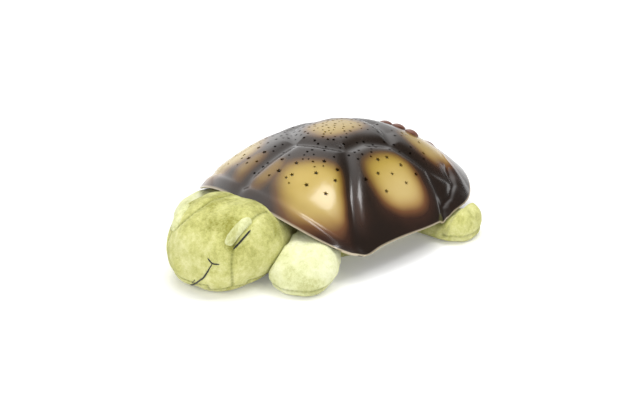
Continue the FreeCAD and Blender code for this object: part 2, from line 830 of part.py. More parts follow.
screw_head = sized(
    "Part::Cylinder", "door_screw_head", Radius="sizes.door_screw_head_radius",
    Height="sizes.door_screw_head_height", x=door_screw_x, z="sizes.plate_bottom")
screw_shank = sized(
    "Part::Cylinder", "door_screw_shank", Radius="sizes.screw_shank_radius",
    Height="sizes.door_screw_length", x=door_screw_x, z="sizes.plate_bottom")
screw_slot = sized(
    "Part::Box", "door_screw_slot", Length="2 * sizes.door_screw_head_radius", Width="0.8",
    Height="0.5", x=door_screw_x + " - sizes.door_screw_head_radius", y="-0.4",
    z="sizes.plate_bottom")
keep(cut("door_screw_cut", fuse("door_screw_blank", [screw_head, screw_shank]), screw_slot),
     "door_screw")


# Three cells side by side, alternately turned, between flat contacts
def cell(index):
    y = (index - 1) * CELL_PITCH
    way = 1 if index % 2 == 0 else -1
    middle = size("bay_front") + size("bay_length") / 2
    start = middle - way * size("cell_length") / 2
    barrel_length = size("cell_length") - size("cell_nub_height")
    barrel = Part.makeCylinder(
        size("cell_radius"), barrel_length, Vec(start, y, CELL_HEIGHT), Vec(way, 0, 0))
    nub = Part.makeCylinder(
        size("cell_nub_radius"), size("cell_nub_height"),
        Vec(start + way * barrel_length, y, CELL_HEIGHT), Vec(way, 0, 0))
    return barrel.fuse(nub)


def contact_springs():
    """Flat plates on both end walls, with a coned spring reaching each cell."""
    solids = []
    thickness = size("contact_thickness")
    width = 2 * size("cell_radius") - 1
    gap = (size("bay_length") - size("cell_length")) / 2
    for index in range(3):
        y = (index - 1) * CELL_PITCH
        for way in (-1, 1):
            wall_x = size("bay_front") if way < 0 else size("bay_front") + size("bay_length")
            low_x = wall_x if way < 0 else wall_x - thickness
            plate = Part.makeBox(
                thickness, width, size("contact_height"),
                Vec(low_x, y - width / 2, CELL_HEIGHT - size("contact_height") / 2))
            cone = Part.makeCone(
                size("cell_radius") - 1.2, size("cell_nub_radius"), gap - thickness,
                Vec(wall_x - way * thickness, y, CELL_HEIGHT), Vec(-way, 0, 0))
            solids.append(plate.fuse(cone))
    return solids


shaped(Part.makeCompound([cell(i) for i in range(3)]), "battery_cells")
shaped(Part.makeCompound(contact_springs()), "battery_contacts")

# Lamp post, its board and three lamps
foot = sized(
    "Part::Cylinder", "lamp_foot", Radius="sizes.lamp_foot_radius",
    Height="sizes.lamp_foot_thickness", x="sizes.lamp_place", z=plate_top)
column = sized(
    "Part::Cone", "lamp_column", Radius1="sizes.lamp_post_radius + 1",
    Radius2="sizes.lamp_post_radius - 1", Height="sizes.lamp_post_height",
    x="sizes.lamp_place", z=plate_top)
post_holes = []
for index, (x, y) in enumerate(LAMP_SCREWS):
    post_holes.append(sized(
        "Part::Cylinder", "lamp_foot_hole_%d" % index,
        Radius="sizes.screw_shank_radius + sizes.head_clearance", Height="20",
        x=str(x), y=str(y), z="sizes.plate_bottom - 5"))
lamp_blank = fuse("lamp_post_blank", [foot, column])
keep(cut("lamp_post_cut", lamp_blank, fuse("lamp_foot_holes", post_holes)), "lamp_post")
lamp_seat = PLATE_TOP + size("lamp_foot_thickness")
shaped(Part.makeCompound([
    screw(x, y, lamp_seat, size("lamp_foot_thickness") + size("plate_thickness") - 1)
    for x, y in LAMP_SCREWS
]), "lamp_screws")
board_level = plate_top + " + sizes.lamp_post_height"
keep(sized(
    "Part::Cylinder", "lamp_board_disc", Radius="sizes.lamp_board_radius",
    Height="sizes.board_thickness", x="sizes.lamp_place", z=board_level), "lamp_board")
lamp_level = board_level + " + sizes.board_thickness"
for colour, turn in (("amber", 90), ("green", 210), ("blue", 330)):
    lamp_x = "sizes.lamp_place + sizes.lamp_circle_radius * cos(%d deg)" % turn
    lamp_y = "sizes.lamp_circle_radius * sin(%d deg)" % turn
    flange = sized(
        "Part::Cylinder", colour + "_lamp_flange", Radius="sizes.lamp_flange_radius",
        Height="sizes.lamp_flange_height", x=lamp_x, y=lamp_y, z=lamp_level)
    barrel = sized(
        "Part::Cylinder", colour + "_lamp_barrel", Radius="sizes.lamp_radius",
        Height="sizes.lamp_barrel_height", x=lamp_x, y=lamp_y, z=lamp_level)
    tip = sized(
        "Part::Cone", colour + "_lamp_tip", Radius1="sizes.lamp_radius",
        Radius2="sizes.lamp_radius / 2", Height="sizes.lamp_radius / 2",
        x=lamp_x, y=lamp_y, z=lamp_level + " + sizes.lamp_barrel_height")
    keep(fuse(colour + "_lamp_form", [flange, barrel, tip]), colour + "_lamp")

# Main circuit board with its parts
board = sized(
    "Part::Box", "main_board_blank", Length="sizes.board_length", Width="sizes.board_width",
    Height="sizes.board_thickness", x="sizes.board_place_x - sizes.board_length / 2",
    y="sizes.board_place_y - sizes.board_width / 2", z=plate_top + " + sizes.board_standoff")
board_holes = []
for index, (x, y) in enumerate(BOARD_POSTS):
    board_holes.append(sized(
        "Part::Cylinder", "board_hole_%d" % index,
        Radius="sizes.screw_shank_radius + sizes.head_clearance", Height="10",
        x=str(x), y=str(y), z=plate_top))
keep(cut("main_board_cut", board, fuse("board_holes", board_holes)), "main_board")
BOARD_TOP = PLATE_TOP + size("board_standoff") + size("board_thickness")
on_board = plate_top + " + sizes.board_standoff + sizes.board_thickness"
shaped(Part.makeCompound([
    screw(x, y, BOARD_TOP, size("board_standoff") + size("board_thickness") - 0.6)
    for x, y in BOARD_POSTS
]), "board_screws")
keep(sized(
    "Part::Box", "chip_body", Length="sizes.chip_length", Width="sizes.chip_width",
    Height="sizes.chip_height", x="sizes.board_place_x - sizes.chip_length / 2",
    y="sizes.board_place_y - sizes.chip_width / 2", z=on_board), "timer_chip")
keep(sized(
    "Part::Cylinder", "capacitor_can", Radius="sizes.capacitor_radius",
    Height="sizes.capacitor_height", x="sizes.board_place_x - sizes.board_length / 3",
    y="sizes.board_place_y", z=on_board), "capacitor")
resistors = []
for index in range(3):
    body = Part.makeCylinder(
        size("resistor_radius"), size("resistor_length"),
        Vec(size("board_place_x") + size("board_length") / 4,
            size("board_place_y") + (index - 1) * size("resistor_pitch"),
            BOARD_TOP + size("resistor_radius")), Vec(1, 0, 0))
    resistors.append(body)
shaped(Part.makeCompound(resistors), "resistors")


# Plush parts: sections of four arcs, lofted
SQUARENESS = 0.76
LOW_MIDDLE = 0.45


def soft_section(centre, across, half_width, low, high):
    """An upright rounded section: four arcs through its widest and highest points."""
    middle = low + LOW_MIDDLE * (high - low)
    side = Vec(across[0], across[1], 0).normalize() * half_width
    base = Vec(centre[0], centre[1], middle)
    top = Vec(0, 0, high - middle)
    bottom = Vec(0, 0, low - middle)
    corners = [side, top, side * -1, bottom]
    edges = []
    for first, second in zip(corners, corners[1:] + corners[:1]):
        through = (first + second) * SQUARENESS
        edges.append(Part.Arc(base + first, base + through, base + second).toShape())
    return Part.Wire(edges)


def soft_limb(start, end, stations):
    """A stuffed limb that swells and tapers from start to end in plan."""
    dx, dy = end[0] - start[0], end[1] - start[1]
    across = (dy, -dx)
    wires = []
    for share, half_width, low, high in stations:
        centre = (start[0] + dx * share, start[1] + dy * share)
        wires.append(soft_section(centre, across, half_width, low, high))
    return Part.makeLoft(wires, True, True)


def on_table(shape):
    """Flattened where it rests."""
    floor = Part.makeBox(800, 800, 100, Vec(-400, -400, -100))
    return shape.cut(floor)


def pad_oval(level, inset):
    """A horizontal oval of four arcs at a given height."""
    half_length = size("pad_half_length") - inset
    half_width = size("pad_half_width") - inset
    corners = [Vec(half_length, 0, 0), Vec(0, half_width, 0)]
    corners += [corners[0] * -1, corners[1] * -1]
    base = Vec(size("pad_centre"), 0, level)
    edges = []
    for first, second in zip(corners, corners[1:] + corners[:1]):
        through = (first + second) * SQUARENESS
        edges.append(Part.Arc(base + first, base + through, base + second).toShape())
    return Part.Wire(edges)


def pad_blank():
    """The stuffed cushion before its opening is cut."""
    top = size("pad_top")
    stations = [(-size("floor_cut"), 9.0), (top * 0.25, 1.0), (top * 0.6, 0.0), (top, 6.0)]
    blank = Part.makeLoft([pad_oval(level, inset) for level, inset in stations], True, True)
    return on_table(blank)


def belly_pad(blank):
    """Stuffed ring under the plate, open in the middle for the battery door."""
    top = size("pad_top")
    hole = Part.makeBox(
        size("belly_hole_length"), 2 * size("belly_hole_half_width"), 2 * top,
        Vec(size("belly_hole_front"), -size("belly_hole_half_width"), -top / 2))
    margin = size("flap_margin")
    recess = Part.makeBox(
        size("belly_hole_length") + 2 * margin,
        2 * (size("belly_hole_half_width") + margin), size("flap_room") + 1,
        Vec(size("belly_hole_front") - margin, -size("belly_hole_half_width") - margin, -1))
    return blank.cut([hole, recess])


cushion = pad_blank()
shaped(belly_pad(cushion), "belly_pad")


def above_shell_wall():
    """Everything over the shell's inner face, with room for the cloth."""
    surface = shell_surface(size("shell_wall") + size("soft_gap"))
    lid = Part.Face(surface, Part.Wire(loop_on(surface, shell_outline())))
    return lid.extrude(Vec(0, 0, size("shell_top")))


def above_plate():
    """The room taken by the base plate and the works on it."""
    room = plan_face(plate_outline(-size("soft_gap"))).extrude(Vec(0, 0, size("shell_top")))
    room.translate(Vec(0, 0, size("pad_top")))
    return room


HARD_PARTS = [above_shell_wall(), above_plate(), cushion]

FLAP_FRONT = size("belly_hole_front") - size("flap_margin") + size("flap_gap")
flap_front = "sizes.belly_hole_front - sizes.flap_margin + sizes.flap_gap"
flap_length = "sizes.belly_hole_length + 2 * sizes.flap_margin - 2 * sizes.flap_gap"
keep(sized(
    "Part::Box", "flap_panel", Length=flap_length,
    Width="2 * (sizes.belly_hole_half_width + sizes.flap_margin - sizes.flap_gap)",
    Height="sizes.flap_thickness", x=flap_front,
    y="-(sizes.belly_hole_half_width + sizes.flap_margin - sizes.flap_gap)",
    z="sizes.flap_lift"), "belly_flap")
strip_x = flap_front + " + " + flap_length + " - sizes.flap_strip_length - 0.5"
keep(sized(
    "Part::Box", "hook_strip", Length="sizes.flap_strip_length",
    Width="2 * sizes.flap_strip_half_width", Height="sizes.flap_strip_thickness", x=strip_x,
    y="-sizes.flap_strip_half_width", z="sizes.flap_lift + sizes.flap_thickness"),
    "flap_hook_strip")
keep(sized(
    "Part::Box", "loop_strip", Length="sizes.flap_strip_length",
    Width="2 * sizes.flap_strip_half_width", Height="sizes.flap_strip_thickness", x=strip_x,
    y="-sizes.flap_strip_half_width", z="sizes.flap_room - sizes.flap_strip_thickness"),
    "flap_loop_strip")

# Hook-and-loop strips that hold the cushion to the plate
for label, level in (
    ("body_loop_strips", "sizes.pad_top"),
    ("plate_hook_strips", "sizes.pad_top + sizes.strip_thickness"),
):
    strips = []
    for index, way in enumerate((-1, 1)):
        strips.append(sized(
            "Part::Box", "%s_%d" % (label, index), Length="sizes.strip_length",
            Width="sizes.strip_width", Height="sizes.strip_thickness",
            x="sizes.pad_centre - sizes.strip_length / 2",
            y="%d * (sizes.belly_hole_half_width + sizes.strip_width) - sizes.strip_width / 2"
              % way,
            z=level))
    keep(group(label + "_pair", strips), label)

HEAD_STATIONS = [
    # distance from the neck, half width, lowest point, highest point
    (-22.0, 42.0, 8.0, 58.0),
    (6.0, 54.0, 1.0, 70.0),
    (34.0, 62.0, -0.5, 79.0),
    (62.0, 63.0, -0.5, 82.0),
    (90.0, 55.0, 0.0, 75.0),
    (110.0, 40.0, 5.0, 61.0),
    (120.0, 22.0, 15.0, 47.0),
]


def head_point(forward, sideways):
    """A plan point of the turned head; sideways is toward the turtle's right."""
    turn = math.radians(size("head_turn"))
    x = size("neck_place") - forward * math.cos(turn) - sideways * math.sin(turn)
    y = -forward * math.sin(turn) + sideways * math.cos(turn)
    return x, y


def head_form():
    across = (-math.sin(math.radians(size("head_turn"))),
              math.cos(math.radians(size("head_turn"))))
    wires = []
    for forward, half_width, low, high in HEAD_STATIONS:
        wires.append(soft_section(head_point(forward, 0), across, half_width, low, high))
    return on_table(Part.makeLoft(wires, True, True)).cut(HARD_PARTS)


head = head_form()
shaped(head, "head")


def eyelid(side):
    """A padded fold of cloth laid over the closed eye."""
    points = []
    for forward, out, level in ((98, 40, 64), (86, 43, 71), (70, 44, 76)):
        x, y = head_point(forward, side * out)
        points.append(Vec(x, y, level))
    path = Part.Arc(*points)
    rings = []
    for share in (0.0, 0.12, 0.5, 0.88, 1.0):
        place = path.FirstParameter + share * (path.LastParameter - path.FirstParameter)
        radius = size("eyelid_radius") * (0.6 if share in (0.0, 1.0) else 1.0)
        ring = Part.Circle(path.value(place), path.tangent(place)[0], radius)
        rings.append(Part.Wire([ring.toShape()]))
    return Part.makeLoft(rings, True, True).cut(head)


FRONT_LIMB = [
    (-0.4, 26.0, 6.0, 34.0),
    (0.0, 30.0, 3.0, 42.0),
    (0.3, 36.0, 0.0, 46.0),
    (0.6, 39.0, -0.5, 43.0),
    (0.85, 32.0, -0.5, 34.0),
    (1.0, 17.0, 5.0, 22.0),
]
REAR_LIMB = [
    (-0.6, 24.0, 4.0, 24.0),
    (0.0, 28.0, 1.0, 25.0),
    (0.45, 33.0, -0.5, 22.0),
    (0.72, 35.0, -0.5, 25.0),
    (0.92, 27.0, -0.5, 21.0),
    (1.0, 14.0, 4.0, 13.0),
]
# Where each front flipper's tip lies: forward place and distance from the middle
FRONT_TOES = {"left": (-142, 108), "right": (-130, 102)}
TAIL = [
    (0.0, 18.0, 1.0, 24.0),
    (0.4, 15.0, -0.5, 20.0),
    (0.8, 9.0, -0.3, 14.0),
    (1.0, 4.0, 3.0, 8.0),
]
for label, side in (("left", -1), ("right", 1)):
    toe = FRONT_TOES[label]
    flipper = soft_limb((-70, side * 60), (toe[0], side * toe[1]), FRONT_LIMB)
    shaped(on_table(flipper).cut([head] + HARD_PARTS), label + "_front_flipper")
    foot = soft_limb((82, side * 74), (106, side * 146), REAR_LIMB)
    shaped(on_table(foot).cut(HARD_PARTS), label + "_rear_foot")
    shaped(eyelid(side), label + "_eyelid")
shaped(on_table(soft_limb((106, 0), (188, 0), TAIL)).cut(HARD_PARTS), "tail")

doc.recompute()
for item in doc.Objects:
    if "Invalid" in item.State or "Error" in item.State:
        raise SystemExit("%s did not build: %s" % (item.Label, item.State))
total = 0
for item in sub_parts:
    shape = item.Shape
    if shape.isNull() or not shape.isValid() or not shape.Solids:
        raise SystemExit("%s has no valid solid" % item.Label)
    if min(solid.Volume for solid in shape.Solids) <= 0:
        raise SystemExit("%s is inside out" % item.Label)
    total += len(shape.Solids)
os.makedirs("parts", exist_ok=True)
for item in sub_parts:
    item.Shape.exportStep("parts/%s.step" % item.Label)
print("%d pieces, %d solids" % (len(sub_parts), total))
for button in BUTTONS:
    print(button.colour, "button axis", [round(v, 4) for v in button.normal])
print("door axis", TAB_FRONT + size("door_tab_reach") / 2, DOOR_TOP - size("door_tab_thickness") / 2)
print("flap axis", FLAP_FRONT, size("flap_lift"))
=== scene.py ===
# %% [markdown]
# A night light in the form of a sleeping turtle: a stuffed plush body carries a hard,
# glossy shell that is pierced with stars. The CAD model gives every piece its place.
# This lesson dresses that frame: it makes the fine shell, the cloth and the stitching,
# and gives each inner part the finish that the real material has.

import math
import random

import bpy
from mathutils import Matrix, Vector
from mathutils.bvhtree import BVHTree


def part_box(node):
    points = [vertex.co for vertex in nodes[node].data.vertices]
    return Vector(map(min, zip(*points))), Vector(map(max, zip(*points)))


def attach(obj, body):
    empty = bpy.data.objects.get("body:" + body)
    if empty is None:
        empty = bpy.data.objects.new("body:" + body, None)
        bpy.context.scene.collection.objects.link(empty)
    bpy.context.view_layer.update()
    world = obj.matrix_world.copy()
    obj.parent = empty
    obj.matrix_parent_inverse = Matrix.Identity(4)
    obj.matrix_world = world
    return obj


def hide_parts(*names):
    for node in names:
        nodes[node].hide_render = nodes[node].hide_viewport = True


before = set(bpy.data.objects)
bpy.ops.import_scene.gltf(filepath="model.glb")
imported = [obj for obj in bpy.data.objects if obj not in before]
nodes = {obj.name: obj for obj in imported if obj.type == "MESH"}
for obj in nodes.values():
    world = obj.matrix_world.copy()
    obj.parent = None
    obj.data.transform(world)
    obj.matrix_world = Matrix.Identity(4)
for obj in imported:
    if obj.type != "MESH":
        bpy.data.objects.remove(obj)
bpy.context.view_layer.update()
MM = 0.001

# %% [markdown]
# The camera stands a little above the floor, in front of the turtle and to its left, as
# for a catalogue picture. A long lens keeps the shell from looking stretched. Its place
# is worked out from two angles and a distance, which are easier to adjust than x, y, z.

# %% Camera
LOOK_AT = Vector((-0.010, 0.0, 0.055))
VIEW_AZIMUTH = math.radians(43.96)
VIEW_ELEVATION = math.radians(23.58)
VIEW_DISTANCE = 1.859
LENS = 94.1
SHIFT_ACROSS = 0.0083
SHIFT_UP = -0.0231

backward = Vector((
    -math.sin(VIEW_AZIMUTH) * math.cos(VIEW_ELEVATION),
    -math.cos(VIEW_AZIMUTH) * math.cos(VIEW_ELEVATION),
    math.sin(VIEW_ELEVATION),
))
bpy.ops.object.camera_add(location=LOOK_AT + backward * VIEW_DISTANCE)
camera = bpy.context.object
camera.name = "catalogue_camera"
camera.rotation_mode = "QUATERNION"
camera.rotation_quaternion = (-backward).to_track_quat("-Z", "Y")
camera.data.lens = LENS
camera.data.shift_x = SHIFT_ACROSS
camera.data.shift_y = SHIFT_UP
camera.data.clip_end = 50
bpy.context.scene.camera = camera
bpy.context.scene.view_settings.view_transform = "Standard"

# %% [markdown]
# The picture is lit as in a white tent: soft light from every side, and a few large panels
# for shape. Area lamps are chosen because their size sets how soft the shadow's edge is.
# All but one are hidden from reflections. The glossy shell mirrors a world of its own,
# bright behind and above and dim on the near side, with one soft window of light.

# %% Light
TENT_LIGHT = 0.50


def soft_panel(name, place, aim, width, height, power, mirrored=False):
    """A rectangular lamp at a place, turned toward the point it lights."""
    bpy.ops.object.light_add(type="AREA", location=place)
    lamp = bpy.context.object
    lamp.name = name
    lamp.data.shape = "RECTANGLE"
    lamp.data.size = width
    lamp.data.size_y = height
    lamp.data.energy = power
    lamp.visible_glossy = mirrored
    lamp.rotation_mode = "QUATERNION"
    lamp.rotation_quaternion = (aim - Vector(place)).to_track_quat("-Z", "Y")
    return lamp


soft_panel("overhead_panel", (0.15, 0.25, 1.60), LOOK_AT, 1.4, 1.2, 17.0)
soft_panel("left_panel", (-1.6, -0.2, 0.9), LOOK_AT, 1.0, 1.0, 9.0)
soft_panel("front_panel", (-0.2, -1.9, 0.8), LOOK_AT, 0.9, 0.7, 6.0)
soft_panel("window_panel", (0.295, -0.553, 1.115), LOOK_AT, 0.26, 0.34, 3.0, mirrored=True)

world = bpy.data.worlds.new("white_tent")
bpy.context.scene.world = world
world.use_nodes = True
sky = world.node_tree.nodes
sky_links = world.node_tree.links
tent = sky["Background"]
tent.inputs["Color"].default_value = (1.0, 1.0, 1.0, 1.0)
rays = sky.new("ShaderNodeLightPath")
looked_at = sky.new("ShaderNodeMath")
looked_at.operation = "MAXIMUM"
sky_links.new(rays.outputs["Is Camera Ray"], looked_at.inputs[0])
sky_links.new(rays.outputs["Is Transmission Ray"], looked_at.inputs[1])

# What the gloss mirrors: a bright wall behind and above, a dim room on the near side
BRIGHT_WALL = (-0.30, 0.80, 0.52)
DIM_UP_TO, LIT_FROM = -0.15, 0.75
DIM_ROOM, LIT_WALL = 0.10, 1.7
direction = sky.new("ShaderNodeTexCoord")
toward_wall = sky.new("ShaderNodeVectorMath")
toward_wall.operation = "DOT_PRODUCT"
toward_wall.inputs[1].default_value = BRIGHT_WALL
sky_links.new(direction.outputs["Generated"], toward_wall.inputs[0])
mirrored_light = sky.new("ShaderNodeMapRange")
mirrored_light.interpolation_type = "SMOOTHSTEP"
for socket, value in (("From Min", DIM_UP_TO), ("From Max", LIT_FROM),
                      ("To Min", DIM_ROOM), ("To Max", LIT_WALL)):
    mirrored_light.inputs[socket].default_value = value
sky_links.new(toward_wall.outputs["Value"], mirrored_light.inputs["Value"])


def chosen(switch, otherwise, when_on):
    """One value for a kind of ray, another for the rest."""
    mix = sky.new("ShaderNodeMix")
    for socket, value in (("Factor", switch), ("A", otherwise), ("B", when_on)):
        if isinstance(value, float):
            mix.inputs[socket].default_value = value
        else:
            sky_links.new(value, mix.inputs[socket])
    return mix.outputs["Result"]


for_gloss = chosen(rays.outputs["Is Glossy Ray"], TENT_LIGHT, mirrored_light.outputs["Result"])
for_eyes = chosen(looked_at.outputs["Value"], for_gloss, 1.0)
sky_links.new(for_eyes, tent.inputs["Strength"])

# %% [markdown]
# Every finish below is made of nodes. A short class keeps that readable: it starts a
# material with its shader, and its methods add a node, set its values and wire it.

# %% Material helpers
def linear(red, green, blue):
    """A colour as it looks on screen, from 0 to 255, in the form a shader takes."""
    def channel(value):
        share = value / 255
        if share <= 0.04045:
            return share / 12.92
        return ((share + 0.055) / 1.055) ** 2.4
    return (channel(red), channel(green), channel(blue), 1.0)


class Finish:
    """A material and its node tree, with a Principled shader to start from."""

    def __init__(self, name, **shader_values):
        self.material = bpy.data.materials.new(name)
        self.material.use_nodes = True
        self.tree = self.material.node_tree
        self.shader = self.tree.nodes["Principled BSDF"]
        for socket, value in shader_values.items():
            self.shader.inputs[socket.replace("_", " ")].default_value = value

    def node(self, kind, sockets=None, **settings):
        """Adds a node; settings are its own fields, sockets are values or wires."""
        made = self.tree.nodes.new(kind)
        for field, value in settings.items():
            setattr(made, field, value)
        for socket, value in (sockets or {}).items():
            if isinstance(value, bpy.types.NodeSocket):
                self.tree.links.new(value, made.inputs[socket])
            else:
                made.inputs[socket].default_value = value
        return made

    def wire(self, output, socket):
        self.tree.links.new(output, self.shader.inputs[socket])

    def place(self):
        """The point on the object, in metres."""
        return self.node("ShaderNodeTexCoord").outputs["Object"]

    def noise(self, size, detail=3.0, rough=0.5):
        """Irregular pattern whose features are about size metres across."""
        made = self.node(
            "ShaderNodeTexNoise",
            {"Vector": self.place(), "Scale": 1.0 / size, "Detail": detail, "Roughness": rough})
        return made.outputs["Fac"]

    def ramp(self, value, stops):
        """Colours along a value, as (place, colour) pairs."""
        made = self.node("ShaderNodeValToRGB", {"Fac": value})
        ramp = made.color_ramp
        ramp.elements[0].position, ramp.elements[0].color = stops[0]
        ramp.elements[1].position, ramp.elements[1].color = stops[-1]
        for place, colour in stops[1:-1]:
            ramp.elements.new(place).color = colour
        return made.outputs["Color"]

    def spread(self, value, low, high, start=0.0, end=1.0, **settings):
        """Turns a value that runs from start to end into a range from low to high."""
        made = self.node("ShaderNodeMapRange", {
            "Value": value, "From Min": start, "From Max": end, "To Min": low,
            "To Max": high}, **settings)
        return made.outputs["Result"]

    def mix(self, factor, first, second, kind="FLOAT"):
        """Two values, or with kind RGBA two colours, mixed by a share of the second."""
        made = self.node(
            "ShaderNodeMix", {"Factor": factor, "A": first, "B": second}, data_type=kind)
        return made.outputs["Result"]

    def calculated(self, operation, *values):
        made = self.node("ShaderNodeMath", dict(enumerate(values)), operation=operation)
        return made.outputs["Value"]

    def split(self, axis):
        """One coordinate of the point on the object, in metres."""
        return self.node("ShaderNodeSeparateXYZ", {"Vector": self.place()}).outputs[axis]

    def kept(self, name):
        """The number that an attribute of the mesh keeps."""
        return self.node("ShaderNodeAttribute", attribute_name=name).outputs["Fac"]

    def bump(self, height, depth, strength=1.0):
        """Raises and lowers the surface by up to depth metres."""
        made = self.node(
            "ShaderNodeBump", {"Height": height, "Distance": depth, "Strength": strength})
        self.wire(made.outputs["Normal"], "Normal")
        return made


def paint(material, *names):
    """Gives a finish to CAD nodes or pieces, by name."""
    for name in names:
        piece = bpy.data.objects[name]
        piece.data.materials.clear()
        piece.data.materials.append(material)


# %% [markdown]
# The floor is a wide sheet of white card. It is one slab, lit like everything else, so
# that it keeps the soft shadow that tells the eye where the turtle rests.

# %% Floor
FLOOR_SIZE = 12.0
FLOOR_THICKNESS = 0.004
FLOOR_GLOW = 0.14

bpy.ops.mesh.primitive_cube_add(size=1, location=(0, 0, -FLOOR_THICKNESS / 2))
floor = bpy.context.object
floor.name = "floor"
floor.scale = (FLOOR_SIZE, FLOOR_SIZE, FLOOR_THICKNESS)
bpy.ops.object.transform_apply(location=True, rotation=True, scale=True)
card = Finish("white_card", Roughness=0.85)
grain = card.noise(0.02)
card.wire(card.ramp(grain, [(0.3, linear(250, 250, 250)), (0.7, linear(254, 254, 254))]),
          "Base Color")
card.wire(card.spread(grain, 0.8, 0.9), "Roughness")
rays_at_floor = card.node("ShaderNodeLightPath").outputs["Is Camera Ray"]
card.shader.inputs["Emission Color"].default_value = (1.0, 1.0, 1.0, 1.0)
card.wire(card.spread(rays_at_floor, 0.0, FLOOR_GLOW), "Emission Strength")
paint(card.material, "floor")

# %% [markdown]
# The shell is one moulded sheet. Its form is a crown that falls away by a power of the
# distance from the middle, with soft grooves between the scutes and a brim that arches
# over the head. Named numbers like those of the CAD give the form here, on a much finer
# net, with a fold added before each rear corner. A disc of rings is chosen as the net,
# because its outer ring can lie exactly on the rim, where a grid gives a ragged edge.

# %% Curves that several forms share
def clamped(value, low=0.0, high=1.0):
    return min(high, max(low, value))


def eased(share):
    """The same share, but leaving 0 and reaching 1 gently."""
    return share * share * (3 - 2 * share)


def bell(distance, width):
    """1 on a line, falling softly to 0 a few widths away from it."""
    return math.exp(-((distance / width) ** 2))


# %% Shell form
SHELL_TOP = 119.0
SHELL_FALL = 89.0
HALF_LENGTH = 198.0
HALF_WIDTH = 125.7
CROWN_POWER = 2.2
SHELL_WALL = 2.4
FRONT_CENTRE = 37.6
FRONT_RADIUS = 164.6
SHOULDER_HALF = 121.0
WAIST = (28.0, -127.0)
HIP = (118.0, -110.0)
STERN = (168.0, -72.0)
REAR = (195.0, 0.0)
GROOVE_DEPTH = 4.5
GROOVE_WIDTH = 8.0
BRIM_WIDTH = 13.0
CREASE_DEPTH = 3.5
CREASE_WIDTH = 5.0
BRIM_ARCH = 9.0
SHOULDER_LIFT = 8.0
FLANK_LIFT = 6.0
FLANK_PLACE = -5.0
FLANK_REACH = 45.0
FLANK_INSIDE = 80.0
FLANK_WIDTH = 45.0
FRONT_END = -30.0
FRONT_FADE = 10.0

# Corners of the grooves, as shares of the half sizes
CROWN_FRONT = (-0.20, 0.0)
CROWN_SIDE = (-0.015, -0.334)
CROWN_REAR = (0.40, 0.0)
CROWN_HIP = (0.293, -0.398)
FLANK_REAR = (0.444, -0.628)
GROOVES = [
    [(-0.60, 0.0), CROWN_FRONT, (-0.10, -0.207), CROWN_SIDE],
    [CROWN_SIDE, (-0.111, -0.525), (-0.197, -0.668), (-0.253, -0.788), (-0.283, -0.875)],
    [CROWN_SIDE, (0.121, -0.318), CROWN_HIP, FLANK_REAR],
    [CROWN_HIP, (0.374, -0.207), CROWN_REAR],
    [FLANK_REAR, (0.424, -0.796), (0.414, -0.891)],
    [FLANK_REAR, (0.566, -0.668), (0.646, -0.589)],
]
HIP_FOLD = [(66.0, -126.0), (80.0, -108.0), (99.0, -103.0), (122.0, -88.0), (134.0, -68.0)]
FOLD_DEPTH = 3.5
FOLD_WIDTH = 3.0
FOLD_REGION = 40.0
SKIRT_FLARE = 5.0
SKIRT_END = 150.0
SKIRT_FADE = 30.0
SKIRT_WIDTH = 12.0
RUNS = [
    (a[0] * HALF_LENGTH, a[1] * HALF_WIDTH, b[0] * HALF_LENGTH, b[1] * HALF_WIDTH)
    for line in GROOVES
    for a, b in zip(line, line[1:])
]


def run_distance(x, y, ax, ay, bx, by):
    """How far a plan point lies from a straight run between two others."""
    dx, dy = bx - ax, by - ay
    share = clamped(((x - ax) * dx + (y - ay) * dy) / (dx * dx + dy * dy))
    return math.hypot(x - ax - share * dx, y - ay - share * dy)


def groove_distance(x, y):
    """How far a plan point lies from the nearest groove."""
    return min(run_distance(x, -abs(y), *run) for run in RUNS)


def hip_fold(x, y):
    """A sharp fold in front of the rear corner, with the skirt behind it flared up."""
    side = -abs(y)
    if x < FOLD_REGION or side > -FOLD_REGION:
        return 0.0
    nearest, outside = 1000.0, False
    for (ax, ay), (bx, by) in zip(HIP_FOLD, HIP_FOLD[1:]):
        distance = run_distance(x, side, ax, ay, bx, by)
        if distance < nearest:
            nearest = distance
            outside = (bx - ax) * (side - ay) - (by - ay) * (x - ax) < 0
    valley = -FOLD_DEPTH * bell(nearest, FOLD_WIDTH)
    if not outside:
        return valley
    along = clamped((SKIRT_END - x) / SKIRT_FADE)
    return valley + SKIRT_FLARE * along * (1.0 - bell(nearest, SKIRT_WIDTH))


def crown_height(x, y):
    fall = (abs(x) / HALF_LENGTH) ** CROWN_POWER + (abs(y) / HALF_WIDTH) ** CROWN_POWER
    return SHELL_TOP - SHELL_FALL * fall


def shell_height(x, y):
    """Height of the shell's outer face over a point of the plan, in millimetres."""
    groove = GROOVE_DEPTH * bell(groove_distance(x, y), GROOVE_WIDTH)
    reach = math.hypot(x - FRONT_CENTRE, y)
    crease_reach = FRONT_RADIUS - BRIM_WIDTH
    in_front = 1.0 / (1.0 + math.exp((x - FRONT_END) / FRONT_FADE))
    out = clamped((reach - crease_reach) / BRIM_WIDTH, 0.0, 2.0)
    lift = (BRIM_ARCH + SHOULDER_LIFT) * (abs(y) / SHOULDER_HALF) ** 5 - BRIM_ARCH
    crease = CREASE_DEPTH * bell(reach - crease_reach, CREASE_WIDTH)
    flank = FLANK_LIFT * bell(x - FLANK_PLACE, FLANK_REACH)
    flank *= clamped((abs(y) - FLANK_INSIDE) / FLANK_WIDTH) ** 2
    dome = crown_height(x, y) - groove + flank + hip_fold(x, y)
    return dome + in_front * (out * out * lift - crease)


def shell_normal(x, y):
    """Outward direction of the plain crown at a plan point."""
    step = 0.5
    slope_x = (crown_height(x + step, y) - crown_height(x - step, y)) / (2 * step)
    slope_y = (crown_height(x, y + step) - crown_height(x, y - step)) / (2 * step)
    return Vector((-slope_x, -slope_y, 1.0)).normalized()


